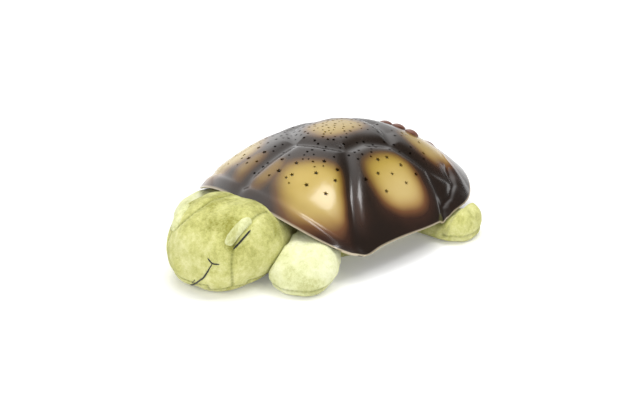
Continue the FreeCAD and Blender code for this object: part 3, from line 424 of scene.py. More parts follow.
# %% [markdown]
# The rim is made of arcs through three points each, as it is on the real mould. A ray
# from the middle of the shell meets the rim once in every direction, so the rim can be
# kept as a list of distances by angle, and a ring of the net is a share of that list.

# %% Rim of the shell
NET_CENTRE = (25.0, 0.0)
SPOKES = 432
RINGS = 104
BROW_STEPS = 60
SIDE_STEPS = 80
STERN_STEPS = 60


def arc_through(start, middle, end, count):
    """Points on the arc through three points, without the last one."""
    (ax, ay), (bx, by), (cx, cy) = start, middle, end
    twice = 2 * (ax * (by - cy) + bx * (cy - ay) + cx * (ay - by))
    a2, b2, c2 = ax * ax + ay * ay, bx * bx + by * by, cx * cx + cy * cy
    ox = (a2 * (by - cy) + b2 * (cy - ay) + c2 * (ay - by)) / twice
    oy = (a2 * (cx - bx) + b2 * (ax - cx) + c2 * (bx - ax)) / twice
    radius = math.hypot(ax - ox, ay - oy)
    first = math.atan2(ay - oy, ax - ox)
    turn = math.atan2(cy - oy, cx - ox) - first
    turn = (turn + math.pi) % (2 * math.pi) - math.pi
    return [
        (ox + radius * math.cos(first + turn * i / count),
         oy + radius * math.sin(first + turn * i / count))
        for i in range(count)
    ]


def rim_points():
    """The rim in plan, once round."""
    shoulder_angle = math.asin(SHOULDER_HALF / FRONT_RADIUS)
    near = []
    for i in range(BROW_STEPS):
        angle = shoulder_angle * i / BROW_STEPS
        near.append((FRONT_CENTRE - FRONT_RADIUS * math.cos(angle),
                     -FRONT_RADIUS * math.sin(angle)))
    shoulder = (FRONT_CENTRE - FRONT_RADIUS * math.cos(shoulder_angle), -SHOULDER_HALF)
    near += arc_through(shoulder, WAIST, HIP, SIDE_STEPS)
    near += arc_through(HIP, STERN, REAR, STERN_STEPS)
    near.append(REAR)
    return near + [(x, -y) for x, y in reversed(near[1:-1])]


RIM = rim_points()


def rim_reach(angle):
    """Distance from the middle of the net to the rim in one direction."""
    dx, dy = math.cos(angle), math.sin(angle)
    for (ax, ay), (bx, by) in zip(RIM, RIM[1:] + RIM[:1]):
        ax, ay, bx, by = ax - NET_CENTRE[0], ay, bx - NET_CENTRE[0], by
        cross = dx * (by - ay) - dy * (bx - ax)
        if abs(cross) < 1e-9:
            continue
        along = (ax * (by - ay) - ay * (bx - ax)) / cross
        share = (ax * dy - ay * dx) / cross
        if along > 0 and -1e-6 <= share <= 1 + 1e-6:
            return along
    raise RuntimeError("the rim has a gap")


REACH = [rim_reach(2 * math.pi * i / SPOKES) for i in range(SPOKES)]
print("the rim is", round(min(REACH)), "to", round(max(REACH)), "mm from its middle")

# %% [markdown]
# The net starts as a UV sphere, which already has rings, spokes and two poles. The lower
# half is deleted, and each ring that is left is moved out to its share of the rim and
# up to the shell's height. Shares closer together at the rim keep the brim's crease.

# %% Shell sheet
def deselect():
    for piece in bpy.context.selected_objects:
        piece.select_set(False)


def select_only(piece):
    deselect()
    piece.select_set(True)
    bpy.context.view_layer.objects.active = piece


def edit_all(operator, **settings):
    """Runs an edit-mode operator on the whole mesh of the active piece."""
    bpy.ops.object.mode_set(mode="EDIT")
    bpy.ops.mesh.select_all(action="SELECT")
    operator(**settings)
    bpy.ops.object.mode_set(mode="OBJECT")


def apply_modifier(piece, kind, **settings):
    """Adds a modifier, sets it and applies it."""
    select_only(piece)
    modifier = piece.modifiers.new(kind.lower(), kind)
    for field, value in settings.items():
        setattr(modifier, field, value)
    bpy.ops.object.modifier_apply(modifier=modifier.name)


def shell_sheet():
    """The outer face of the shell as one open net."""
    deselect()
    bpy.ops.mesh.primitive_uv_sphere_add(segments=SPOKES, ring_count=2 * RINGS, radius=1)
    sheet = bpy.context.object
    sheet.name = "star_shell_moulding"
    edit_all(bpy.ops.mesh.bisect, plane_co=(0, 0, -0.002), plane_no=(0, 0, 1),
             clear_inner=True)
    for vertex in sheet.data.vertices:
        ring = round(math.acos(clamped(vertex.co.z, -1.0)) / (math.pi / 2) * RINGS)
        spoke = round(math.atan2(vertex.co.y, vertex.co.x) / (2 * math.pi) * SPOKES) % SPOKES
        share = min(1.0, ring / RINGS)
        distance = REACH[spoke] * share
        angle = 2 * math.pi * spoke / SPOKES
        x = NET_CENTRE[0] + distance * math.cos(angle)
        y = NET_CENTRE[1] + distance * math.sin(angle)
        vertex.co = Vector((x, y, shell_height(x, y))) * MM
    edit_all(bpy.ops.mesh.remove_doubles, threshold=1e-6)
    edit_all(bpy.ops.mesh.normals_make_consistent, inside=False)
    return sheet


shell = shell_sheet()
print("the shell's sheet has", len(shell.data.polygons), "faces")

# %% [markdown]
# The scutes are tinted in the mould: honey yellow in the middle, through amber, to a dark
# brown in the grooves and at the brim. That pattern follows the shell's own form, so it
# is worked out once for every vertex and kept as an attribute. A shader then turns the
# number into colour, which is easier to adjust than painted colours.

# %% Tint of the scutes
# Middle and half sizes of each pale patch in the plan, its strength and its turn in degrees
PATCHES = [
    (-70.0, 63.0, 48.0, 38.0, 1.00, 36.0),
    (28.0, 86.0, 40.0, 31.0, 0.95, 4.0),
    (22.0, 0.0, 46.0, 28.0, 0.80, 0.0),
    (-92.0, 6.0, 28.0, 26.0, 0.55, 0.0),
    (122.0, 44.0, 38.0, 34.0, 0.80, -20.0),
    (160.0, 0.0, 22.0, 40.0, 0.65, 0.0),
]
PATCH_SQUARENESS = 2.6
PATCH_EDGE = 0.80
PATCH_FADE = 0.13
GROOVE_SHADE = 0.9
GROOVE_SHADE_WIDTH = 9.0
CUT_EDGE_WIDTH = 0.9


def tint(x, y):
    """How pale the moulding is at a plan point, from 0 to 1."""
    palest = 0.0
    for px, py, half_x, half_y, strength, turn in PATCHES:
        for side in (1, -1):
            angle = math.radians(turn) * side
            dx, dy = x - px, y - py * side
            along = (dx * math.cos(angle) + dy * math.sin(angle)) / half_x
            across = (dy * math.cos(angle) - dx * math.sin(angle)) / half_y
            reach = abs(along) ** PATCH_SQUARENESS + abs(across) ** PATCH_SQUARENESS
            reach **= 1 / PATCH_SQUARENESS
            fade = 1.0 / (1.0 + math.exp((reach - PATCH_EDGE) / PATCH_FADE))
            palest = max(palest, strength * fade)
    return palest * (1.0 - GROOVE_SHADE * bell(groove_distance(x, y), GROOVE_SHADE_WIDTH))


def write_value(piece, name, values):
    """Keeps one number for every vertex of a piece."""
    kept = piece.data.attributes.new(name, "FLOAT", "POINT")
    kept.data.foreach_set("value", values)


# %% [markdown]
# The wall is added with Solidify, inward from the outer face. Then the holes are cut: the
# stars as small five-pointed prisms square to the surface, and four round ones for the
# buttons. Cutting with one joined set of prisms takes a single exact boolean.

# %% Stars and button holes
STAR_SEED = 7
STAR_POINTS = 5
STAR_WAIST = 0.52
BIG_STAR = 3.3
SMALL_STAR = 2.1
TINY_STAR = 1.6
STAR_SPACING = 5.5
STAR_MIDDLE = 8
STAR_SPREAD = (52, 34)
STAR_FRONT, STAR_REAR, STAR_SIDE = -100, 112, 70
BUTTON_ROOM = 5
ABOVE_WALL, BELOW_WALL = 3.0, 6.0
BUTTON_GAP = 0.5
BUTTONS = [
    ("amber", 125.0, -20.4, 8.2),
    ("green", 125.0, 0.0, 8.2),
    ("blue", 125.0, 20.4, 8.2),
    ("power", 176.0, 0.0, 10.5),
]
BIG_STARS = [
    (-64, -73), (-76, -56), (-80, -38), (-45, -68), (-58, -52), (-86, -24),
    (-66, -30), (-72, -14), (-40, -46), (-34, -60),
    (7, -94), (40, -92), (-10, -79), (10, -78), (28, -82), (48, -76),
    (62, -86), (36, -66), (22, -66),
    (100, -62), (112, -44), (98, -30),
]
SMALL_STAR_COUNT = 190


def clear_of_buttons(x, y):
    return all(math.hypot(x - bx, y - by) > r + BUTTON_ROOM for _, bx, by, r in BUTTONS)


def star_places():
    """Plan place, radius and turn of every star: sparse low down, dense on the crown."""
    draw = random.Random(STAR_SEED)
    places = [
        (x, y * side, BIG_STAR * draw.uniform(0.8, 1.05), draw.uniform(0, 72))
        for x, y in BIG_STARS
        for side in (1, -1)
    ]
    while len(places) < 2 * len(BIG_STARS) + SMALL_STAR_COUNT:
        x, y = draw.gauss(STAR_MIDDLE, STAR_SPREAD[0]), draw.gauss(0, STAR_SPREAD[1])
        inside = STAR_FRONT < x < STAR_REAR and abs(y) < STAR_SIDE
        apart = all(math.hypot(x - s[0], y - s[1]) > STAR_SPACING for s in places)
        if inside and apart and clear_of_buttons(x, y):
            size = draw.choice((TINY_STAR, SMALL_STAR, SMALL_STAR))
            places.append((x, y, size, draw.uniform(0, 72)))
    return places


def star_prism(x, y, radius, turn):
    """Corners of a star, above and below the wall, in metres."""
    normal = shell_normal(x, y)
    side = normal.cross(Vector((0, 1, 0))).normalized()
    front = normal.cross(side)
    centre = Vector((x, y, shell_height(x, y)))
    top, bottom = [], []
    for i in range(2 * STAR_POINTS):
        angle = math.radians(turn) + i * math.pi / STAR_POINTS
        length = radius * (1.0 if i % 2 == 0 else STAR_WAIST)
        flat = centre + side * (length * math.cos(angle)) + front * (length * math.sin(angle))
        top.append((flat + normal * ABOVE_WALL) * MM)
        bottom.append((flat - normal * BELOW_WALL) * MM)
    return top, bottom


def star_cutter():
    """All stars as one mesh of prisms, each extruded from its own flat star."""
    corners, faces = [], []
    for place in star_places():
        top, bottom = star_prism(*place)
        start = len(corners)
        count = len(top)
        corners += top + bottom
        faces.append([start + i for i in range(count)])
        faces.append([start + count + i for i in reversed(range(count))])
        for i in range(count):
            j = (i + 1) % count
            faces.append([start + j, start + i, start + count + i, start + count + j])
    mesh = bpy.data.meshes.new("star_prisms")
    mesh.from_pydata([tuple(c) for c in corners], [], faces)
    cutter = bpy.data.objects.new("star_prisms", mesh)
    bpy.context.scene.collection.objects.link(cutter)
    select_only(cutter)
    edit_all(bpy.ops.mesh.normals_make_consistent, inside=False)
    return cutter


def button_cutter(x, y, radius):
    """A round prism through the wall, square to the crown."""
    normal = shell_normal(x, y)
    centre = Vector((x, y, crown_height(x, y))) * MM
    deselect()
    bpy.ops.mesh.primitive_cylinder_add(
        vertices=72, radius=(radius + BUTTON_GAP) * MM, depth=24 * MM, location=centre,
        rotation=normal.to_track_quat("Z", "Y").to_euler())
    return bpy.context.object


def subtract(piece, cutter):
    """Cuts one closed mesh out of another and removes the tool."""
    apply_modifier(piece, "BOOLEAN", operation="DIFFERENCE", object=cutter, solver="EXACT")
    bpy.data.objects.remove(cutter)


apply_modifier(shell, "SOLIDIFY", thickness=SHELL_WALL * MM, offset=-1.0, use_even_offset=True)
subtract(shell, star_cutter())
for _, place_x, place_y, hole_radius in BUTTONS:
    subtract(shell, button_cutter(place_x, place_y, hole_radius))
print("the pierced shell has", len(shell.data.polygons), "faces")

tints, edges = [], []
for vertex in shell.data.vertices:
    x, y = vertex.co.x / MM, vertex.co.y / MM
    tints.append(tint(x, y))
    angle = math.atan2(y - NET_CENTRE[1], x - NET_CENTRE[0])
    reach = REACH[round(angle / (2 * math.pi) * SPOKES) % SPOKES]
    inset = reach - math.hypot(x - NET_CENTRE[0], y - NET_CENTRE[1])
    edges.append(1.0 if inset < CUT_EDGE_WIDTH else 0.0)
write_value(shell, "tint", tints)
write_value(shell, "cut_edge", edges)
select_only(shell)
bpy.ops.object.shade_smooth_by_angle(angle=math.radians(38))

# %% [markdown]
# Moulded, tinted plastic is a plain colour under a clear, hard gloss. The colour comes
# from the tint attribute, with a little noise so that the fade is never quite even. The
# tints come in two copies mixed by height: a paler one low down, which is painted light,
# and a darker one on the crown, which is painted shade. The rim's cut edge shows the pale
# plastic inside. A coat gives the sharp reflection, and a very long, faint wave keeps the
# highlight from looking computed.

# %% Shell finish
plastic = Finish(
    "tinted_shell_plastic", Coat_Weight=0.35, Coat_Roughness=0.10, IOR=1.45)
cloud = plastic.spread(plastic.noise(0.035, 2.0), -0.07, 0.07)
clouded = plastic.calculated("ADD", plastic.kept("tint"), cloud)
# The darker copy of the tints, for the crown: painted shade
SHADED_CROWN_TINTS = [
    (0.00, linear(30, 20, 12)),
    (0.14, linear(44, 30, 18)),
    (0.34, linear(88, 60, 22)),
    (0.60, linear(134, 106, 40)),
    (0.85, linear(168, 142, 62)),
    (1.00, linear(186, 160, 82)),
]
# The paler copy of the tints, for the low sides: painted light
LIT_LOW_TINTS = [
    (0.00, linear(34, 24, 18)),
    (0.14, linear(58, 36, 26)),
    (0.34, linear(112, 74, 46)),
    (0.60, linear(172, 138, 84)),
    (0.85, linear(204, 178, 120)),
    (1.00, linear(222, 200, 148)),
]
# Painted light low down and painted shade on the crown, mixed by height
LOW_Z, HIGH_Z = 0.050, 0.092
lit_low_to_shaded_crown = plastic.spread(plastic.split("Z"), 0.0, 1.0, LOW_Z, HIGH_Z)
tint_with_painted_light = plastic.mix(
    lit_low_to_shaded_crown, plastic.ramp(clouded, LIT_LOW_TINTS), plastic.ramp(clouded, SHADED_CROWN_TINTS), "RGBA")
shell_colour = plastic.mix(
    plastic.kept("cut_edge"), tint_with_painted_light, linear(196, 182, 156), "RGBA")
plastic.wire(shell_colour, "Base Color")
plastic.wire(plastic.spread(plastic.noise(0.05), 0.20, 0.30), "Roughness")
plastic.bump(plastic.noise(0.03, 1.0), 0.0004, 0.25)
paint(plastic.material, "star_shell_moulding")
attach(shell, "root")
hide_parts("star_shell")

# %% [markdown]
# The head, the flippers, the feet, the tail and the cushion are sewn from short-pile
# plush and stuffed. The CAD solid gives each its place, but it is stiff and has creases.
# So a copy of it is remade as an even net, smoothed, and blown up a little by a cloth
# simulation. It may only swell where there is room: close to a neighbour it stays put.

# %% Stuffed skins
ROOM_NEEDED = 8.0
LEAST_GAP = 0.8
LEAST_HEIGHT = 0.3
SWELL_FRAMES = 16
SWELL_PRESSURE = 4.0


def tree_of(piece):
    """A search tree of a mesh, for nearest points and rays."""
    mesh = piece.data
    corners = [v.co.copy() for v in mesh.vertices]
    return BVHTree.FromPolygons(corners, [tuple(p.vertices) for p in mesh.polygons])


def skin_of(node, voxel, smoothing):
    """An even, smoothed copy of a CAD solid."""
    deselect()
    skin = bpy.data.objects.new(node + "_plush", nodes[node].data.copy())
    bpy.context.scene.collection.objects.link(skin)
    select_only(skin)
    edit_all(bpy.ops.mesh.remove_doubles, threshold=1e-5)
    apply_modifier(skin, "REMESH", mode="VOXEL", voxel_size=voxel * MM)
    apply_modifier(skin, "SMOOTH", factor=0.5, iterations=smoothing)
    return skin


def room_round(skin, neighbours):
    """A number for every vertex: 0 where a neighbour is close, 1 where it is free."""
    trees = [tree_of(nodes[name]) for name in neighbours]
    rooms = []
    for vertex in skin.data.vertices:
        nearest = min([tree.find_nearest(vertex.co)[3] for tree in trees])
        share = clamped((nearest / MM - LEAST_GAP) / ROOM_NEEDED)
        floor_share = clamped((vertex.co.z / MM - LEAST_HEIGHT) / ROOM_NEEDED)
        rooms.append(eased(share) * floor_share)
    return rooms


def swell(skin, rooms, cap):
    """Blows the skin up with a cloth simulation, by cap millimetres at the most."""
    rest = [v.co.copy() for v in skin.data.vertices]
    select_only(skin)
    cloth = skin.modifiers.new("cloth", "CLOTH")
    cloth.settings.quality = 4
    cloth.settings.use_pressure = True
    cloth.settings.uniform_pressure_force = SWELL_PRESSURE
    cloth.settings.effector_weights.gravity = 0.0
    cloth.point_cache.frame_end = SWELL_FRAMES
    scene = bpy.context.scene
    for step in range(1, SWELL_FRAMES + 1):
        scene.frame_set(step)
    blown = skin.evaluated_get(bpy.context.evaluated_depsgraph_get())
    moved = [v.co.copy() for v in blown.data.vertices]
    skin.modifiers.remove(cloth)
    scene.frame_set(1)
    for vertex, start, end, room in zip(skin.data.vertices, rest, moved, rooms):
        way = end - start
        if way.length > cap * MM:
            way = way.normalized() * cap * MM
        vertex.co = start + way * room


def refine(skin, levels):
    """Divides the net smoothly, so that seams and wrinkles have vertices to move."""
    apply_modifier(skin, "SUBSURF", levels=levels, render_levels=levels)
    select_only(skin)
    bpy.ops.object.shade_smooth()


# %% [markdown]
# A seam is where two panels of cloth meet and the thread pulls them in. In the mesh it is
# a narrow valley with a soft shoulder on each side, puckered at every few stitches. The
# same distance is kept as an attribute, and the finish darkens the pile with it: painted
# shade down in the seam.

# %% Seams
SEAM_WIDTH = 1.5
SHOULDER_WIDTH = 4.5
PUCKER_LENGTH = 5.0
SEAM_REACH = 14.0
SEARCH_MARGIN = 0.015
SHOULDER_DEPTH = 0.6


def nearest_on_line(point, line):
    """Distance from a point to a line of points, and how far along it that is."""
    best, place, walked = 1000.0, 0.0, 0.0
    for a, b in zip(line, line[1:]):
        run = b - a
        length = run.length
        share = clamped((point - a).dot(run) / (length * length))
        distance = (point - a - run * share).length
        if distance < best:
            best, place = distance, walked + share * length
        walked += length
    return best, place


def smooth_line(points, steps=6):
    """More points on a soft curve through the given ones."""
    line = []
    padded = [points[0]] + list(points) + [points[-1]]
    for p, a, b, n in zip(padded, padded[1:], padded[2:], padded[3:]):
        for i in range(steps):
            t = i / steps
            line.append(0.5 * (
                2 * a + (b - p) * t + (2 * p - 5 * a + 4 * b - n) * t * t
                + (3 * a - p - 3 * b + n) * t ** 3))
    line.append(points[-1])
    return line


def sew(skin, seams, depth):
    """Presses seams into a skin; returns how close each vertex lies to one."""
    closeness = [0.0] * len(skin.data.vertices)
    normals = [v.normal.copy() for v in skin.data.vertices]
    for line in seams:
        low = Vector([min(p[i] for p in line) - SEARCH_MARGIN for i in range(3)])
        high = Vector([max(p[i] for p in line) + SEARCH_MARGIN for i in range(3)])
        for index, vertex in enumerate(skin.data.vertices):
            point = vertex.co
            if any(point[i] < low[i] or point[i] > high[i] for i in range(3)):
                continue
            distance, place = nearest_on_line(point, line)
            distance /= MM
            if distance > SEAM_REACH:
                continue
            pucker = 0.8 + 0.2 * math.sin(place / MM * 2 * math.pi / PUCKER_LENGTH)
            valley = bell(distance, SEAM_WIDTH) * pucker
            soft = bell(distance, SHOULDER_WIDTH)
            pressed = valley * depth + soft * depth * SHOULDER_DEPTH
            vertex.co = point - normals[index] * (pressed * MM)
            closeness[index] = max(closeness[index], valley)
    return closeness


WAVE_COUNT = 14


def ruffle(skin, size, height, seed):
    """Small uneven swellings, as stuffing makes under cloth."""
    draw = random.Random(seed)
    waves = []
    for _ in range(WAVE_COUNT):
        way = Vector((draw.gauss(0, 1), draw.gauss(0, 1), draw.gauss(0, 1))).normalized()
        waves.append((way * (2 * math.pi / (size * MM * draw.uniform(0.7, 1.6))),
                      draw.uniform(0, 6.28)))
    normals = [v.normal.copy() for v in skin.data.vertices]
    for vertex, normal in zip(skin.data.vertices, normals):
        if vertex.co.z < 2 * MM:
            continue
        lift = sum(math.sin(wave.dot(vertex.co) + phase) for wave, phase in waves)
        vertex.co += normal * (lift / len(waves) * height * MM)


def keep_down(skin, lowest):
    """Nothing goes through the floor."""
    for vertex in skin.data.vertices:
        vertex.co.z = max(vertex.co.z, lowest * MM)


# %% [markdown]
# Short-pile plush looks pale where the light falls along the fibres and olive where it
# falls into them, in patches left by whoever stroked it last. Three sizes of noise make
# that: fibres, clumps and stroked patches. Sheen gives the bright edge of a pile fabric,
# and bump lifts the clumps.

# %% Plush finish
CROWN_FROM, CROWN_TO = 0.040, 0.088


def plush(name, dark, middle, pale):
    """Short pile in three tones of one dye, with painted shade on the crown and in the seams.
    """
    cloth = Finish(name, Roughness=0.95, Sheen_Weight=0.45, Sheen_Roughness=0.45)
    cloth.shader.inputs["Sheen Tint"].default_value = linear(238, 240, 205)
    cloth.shader.inputs["Specular IOR Level"].default_value = 0.15
    fibre = cloth.noise(0.0011, 2.0)
    clump = cloth.noise(0.0045, 3.0)
    stroked = cloth.noise(0.034, 4.0, 0.65)
    pattern = cloth.mix(0.18, cloth.mix(0.24, stroked, clump), fibre)
    # The crown is painted darker the higher it lies: painted shade, along with the darker side
    # of the brushed nap
    crown = cloth.spread(
        cloth.split("Z"), 0.02, -0.09, CROWN_FROM, CROWN_TO, interpolation_type="SMOOTHSTEP")
    pile_and_crown_shade = cloth.calculated("ADD", pattern, crown)
    pile = cloth.ramp(pile_and_crown_shade, [(0.35, dark), (0.49, middle), (0.62, pale)])
    # Painted shade in the seams: the pile turns olive down in each seam valley
    seam = cloth.spread(cloth.kept("seam"), 0.0, 0.7)
    cloth.wire(cloth.mix(seam, pile, linear(120, 122, 58), "RGBA"), "Base Color")
    cloth.bump(cloth.mix(0.4, clump, fibre), 0.0022, 0.75)
    return cloth.material


LIME_PLUSH = plush(
    "lime_plush", linear(148, 146, 66), linear(200, 199, 124), linear(226, 224, 164))
PALE_PLUSH = plush(
    "pale_plush", linear(184, 184, 118), linear(220, 222, 168), linear(238, 239, 202))

# %% [markdown]
# The head comes first, because the eyes and the mouth lie on it. The points of its seams
# are written in the head's own directions, forward, sideways and up, and then dropped on
# the cloth along the line of sight, so that they sit on the skin from every side.

# %% Head
NECK = -95.0
HEAD_TURN = math.radians(12.0)
SIGHT_REACH = 0.025
eye_point = camera.location.copy()


def head_place(forward, sideways, height):
    x = NECK - forward * math.cos(HEAD_TURN) - sideways * math.sin(HEAD_TURN)
    y = -forward * math.sin(HEAD_TURN) + sideways * math.cos(HEAD_TURN)
    return Vector((x, y, height)) * MM


def dropped(tree, point):
    """The point of a skin in line with the camera, or else the nearest one."""
    way = (point - eye_point).normalized()
    hit, normal, _, _ = tree.ray_cast(eye_point, way)
    if hit is None or (hit - point).length > SIGHT_REACH:
        hit, normal, _, _ = tree.find_nearest(point)
    return hit, normal


def line_on(tree, places, lift=0.0, seen=True):
    """A soft line through places of the head, laid on its skin, seen by the camera or not."""
    laid = []
    for point in smooth_line([head_place(*p) for p in places]):
        hit, normal = dropped(tree, point) if seen else tree.find_nearest(point)[:2]
        laid.append(hit + normal * (lift * MM))
    return laid


def other_side(places):
    return [(forward, -sideways, height) for forward, sideways, height in places]


CHEEK_SEAM = [(40, -42, 76), (54, -41, 78), (80, -43, 75), (100, -43, 62), (108, -45, 45),
              (109, -46, 30), (106, -44, 15)]
CHIN_SEAM = [(40, -52, 12), (70, -52, 12), (98, -47, 14), (117, -28, 12), (122, 0, 10),
             (117, 28, 12), (98, 47, 14)]
CREST_SEAM = [(30, 10, 82), (47, 11, 84), (91, 21, 78), (104, 36, 63)]

head_skin = skin_of("head", voxel=4.0, smoothing=10)
head_room = room_round(head_skin, [
    "star_shell", "base_plate", "belly_pad", "left_front_flipper", "right_front_flipper"])
swell(head_skin, head_room, cap=3.5)
refine(head_skin, levels=2)
ruffle(head_skin, size=26.0, height=1.5, seed=3)
head_tree = tree_of(head_skin)
head_seams = [
    line_on(head_tree, CHEEK_SEAM),
    line_on(head_tree, other_side(CHEEK_SEAM), seen=False),
    line_on(head_tree, CHIN_SEAM),
    line_on(head_tree, CREST_SEAM, seen=False),
]
write_value(head_skin, "seam", sew(head_skin, head_seams, depth=1.3))
keep_down(head_skin, 0.0)
paint(LIME_PLUSH, "head_plush")
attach(head_skin, "root")
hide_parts("head")
print("the head's skin has", len(head_skin.data.polygons), "faces")

# %% [markdown]
# The closed eye and the smile are stitched with thick dark thread. A soft curve with a
# round bevel follows the skin, and its thickness rises and falls once a stitch. It is
# made a mesh, because a mesh can be carried into any other tool.

# %% Stitched eyes and mouth
STITCH_LENGTH = 2.4
THREAD_STEP = 0.5
STITCH_PINCH = 0.18
TIP_TAPER = 4.0
TIP_SHARE = 0.35
PROUD = 0.3


def thread(name, line, radius):
    """Thick embroidery thread along a line of points."""
    curve = bpy.data.curves.new(name, "CURVE")
    curve.dimensions = "3D"
    curve.bevel_depth = 1.0
    curve.bevel_resolution = 3
    curve.use_fill_caps = True
    spline = curve.splines.new("POLY")
    length = sum((b - a).length for a, b in zip(line, line[1:]))
    count = max(8, int(length / (THREAD_STEP * MM)))
    spline.points.add(count - 1)
    for index in range(count):
        at = index / (count - 1) * (len(line) - 1)
        low = min(int(at), len(line) - 2)
        spot = line[low].lerp(line[low + 1], at - low)
        to_tip = min(index, count - 1 - index) / count
        ends = min(1.0, TIP_TAPER * to_tip + TIP_SHARE)
        stitches = index * THREAD_STEP / STITCH_LENGTH
        beat = 1.0 - STITCH_PINCH + STITCH_PINCH * abs(math.sin(math.pi * stitches))
        spline.points[index].co = (*spot, 1.0)
        spline.points[index].radius = radius * MM * ends * beat
    piece = bpy.data.objects.new(name, curve)
    bpy.context.scene.collection.objects.link(piece)
    select_only(piece)
    bpy.ops.object.convert(target="MESH")
    bpy.ops.object.shade_smooth()
    return bpy.context.object


yarn = Finish("dark_embroidery_thread", Roughness=0.7, Sheen_Weight=0.2)
twist = yarn.node(
    "ShaderNodeTexWave", {"Vector": yarn.place(), "Scale": 900.0, "Distortion": 2.0})
yarn.wire(
    yarn.ramp(twist.outputs["Fac"], [(0.2, linear(20, 19, 16)), (0.8, linear(44, 42, 34))]),
    "Base Color")
yarn.bump(twist.outputs["Fac"], 0.0003, 0.6)

EYE_LINE = [(102, -43, 57), (94, -45, 62), (85, -46.5, 67), (78, -47, 70)]
SMILE_LINE = [(121, -30, 45), (126, -23, 30), (127, -19, 26), (127, -11, 19), (127, -4, 16)]
TICK_LINE = [(122, -25, 50), (121, -30, 45), (117, -36, 44)]
sewn_tree = tree_of(head_skin)
threads = [
    thread("left_eye_stitch", line_on(sewn_tree, EYE_LINE, PROUD), 1.1),
    thread("left_smile_stitch", line_on(sewn_tree, SMILE_LINE, PROUD), 0.9),
    thread("left_cheek_stitch", line_on(sewn_tree, TICK_LINE, PROUD), 0.8),
    thread("right_eye_stitch", line_on(sewn_tree, other_side(EYE_LINE), PROUD, False), 1.1),
]
for piece in threads:
    paint(yarn.material, piece.name)
    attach(piece, "root")

# %% [markdown]
# Each eyelid is a padded flap of paler plush, sewn down over the closed eye. Its solid in
# CAD only marks the place. Here a ball is drawn out along the lid's line on the head, wide
# across the skin and low along its normal, and its lower side hangs over the dark slit.

# %% Eyelids
LID_LINE = [(105, -38, 61), (100, -38, 66), (89, -39.5, 73), (79, -41, 77), (72, -42, 77)]
LID_HALF_WIDTH = 5.6
LID_HEIGHT = 4.2
LID_FULLNESS = 0.45
LID_LIFT = 0.6
LID_SEGMENTS = 32
LID_RINGS = 28


def eyelid_flap(name, tree, places, along_sight):
    """A flattened, padded strip laid on the head along a line of places."""
    line = line_on(tree, places, seen=along_sight)
    deselect()
    bpy.ops.mesh.primitive_uv_sphere_add(segments=LID_SEGMENTS, ring_count=LID_RINGS)
    flap = bpy.context.object
    flap.name = name
    for vertex in flap.data.vertices:
        share = (1.0 - vertex.co.z) / 2.0
        ring = math.hypot(vertex.co.x, vertex.co.y)
        at = share * (len(line) - 1)
        low = min(int(at), len(line) - 2)
        middle = line[low].lerp(line[low + 1], at - low)
        _, normal, _, _ = tree.find_nearest(middle)
        along = (line[min(low + 2, len(line) - 1)] - line[max(low - 1, 0)]).normalized()
        across = normal.cross(along).normalized()
        fuller = ring ** LID_FULLNESS
        turn = math.atan2(vertex.co.y, vertex.co.x)
        width = math.cos(turn) * LID_HALF_WIDTH * fuller
        height = math.sin(turn) * LID_HEIGHT * fuller
        vertex.co = middle + across * (width * MM) + normal * ((height + LID_LIFT) * MM)
    edit_all(bpy.ops.mesh.normals_make_consistent, inside=False)
    refine(flap, levels=1)
    return flap


for side, places in (("left", LID_LINE), ("right", other_side(LID_LINE))):
    name = side + "_eyelid"
    lid = eyelid_flap(name + "_plush", sewn_tree, places, side == "left")
    ruffle(lid, size=7.0, height=0.7, seed=5)
    write_value(lid, "seam", [0.0] * len(lid.data.vertices))
    paint(PALE_PLUSH, lid.name)
    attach(lid, "root")
    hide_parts(name)

# %% [markdown]
# Flippers and feet are two panels sewn together round the edge. The seam runs low along
# each limb, a little above the floor, and turns round the toe. Its height is given at
# the root, the middle and the toe, and it is dropped on the skin from both sides.

# %% Flippers, feet and tail
LIMBS = [
    # node, root and toe in the plan, seam heights, neighbours that it must not push
    ("left_front_flipper", (-70, -60), (-142, -108), (14, 10, 9), ["head"]),
    ("right_front_flipper", (-70, 60), (-130, 102), (14, 10, 9), ["head"]),
    ("left_rear_foot", (82, -74), (106, -146), (12, 11, 9), []),
    ("right_rear_foot", (82, 74), (106, 146), (12, 11, 9), []),
    ("tail", (106, 0), (188, 0), (12, 9, 6), []),
]
SEAM_MIDDLE = 0.55
RAY_START = 0.10
FOOT_RISE = 0.42
FOOT_TUCK = 5.0
RIM_GAP = 2.0
RIM_FADE = 16.0


def edge_seam(tree, root, toe, heights):
    """The line where upper and lower panel meet, round one limb."""
    start = Vector((root[0], root[1], 0)) * MM
    end = Vector((toe[0], toe[1], 0)) * MM
    along = (end - start).normalized()
    across = Vector((-along.y, along.x, 0))
    line = []
    for degrees in range(-90, 91, 10):
        angle = math.radians(degrees)
        share = 0.5 + 0.5 * math.cos(angle)
        height = heights[0] + (heights[2] - heights[0]) * share
        middle = start.lerp(end, SEAM_MIDDLE)
        way = along * math.cos(angle) + across * math.sin(angle)
        far = middle + way * RAY_START
        far.z = height * MM
        middle.z = height * MM
        hit, _, _, _ = tree.ray_cast(far, (middle - far).normalized())
        if hit is not None:
            line.append(hit)
    return line


def rim_distance(point):
    """How far outside the shell's rim a point lies, in millimetres."""
    dx, dy = point.x / MM - NET_CENTRE[0], point.y / MM - NET_CENTRE[1]
    spoke = round(math.atan2(dy, dx) / (2 * math.pi) * SPOKES) % SPOKES
    return math.hypot(dx, dy) - REACH[spoke]


def plump(limb, rise):
    """Lets the end of a limb stand higher where no shell lies over it."""
    for vertex in limb.data.vertices:
        share = eased(clamped((rim_distance(vertex.co) - RIM_GAP) / RIM_FADE))
        vertex.co.z *= 1.0 + rise * share
        vertex.co.y -= math.copysign(FOOT_TUCK * MM * share, vertex.co.y)


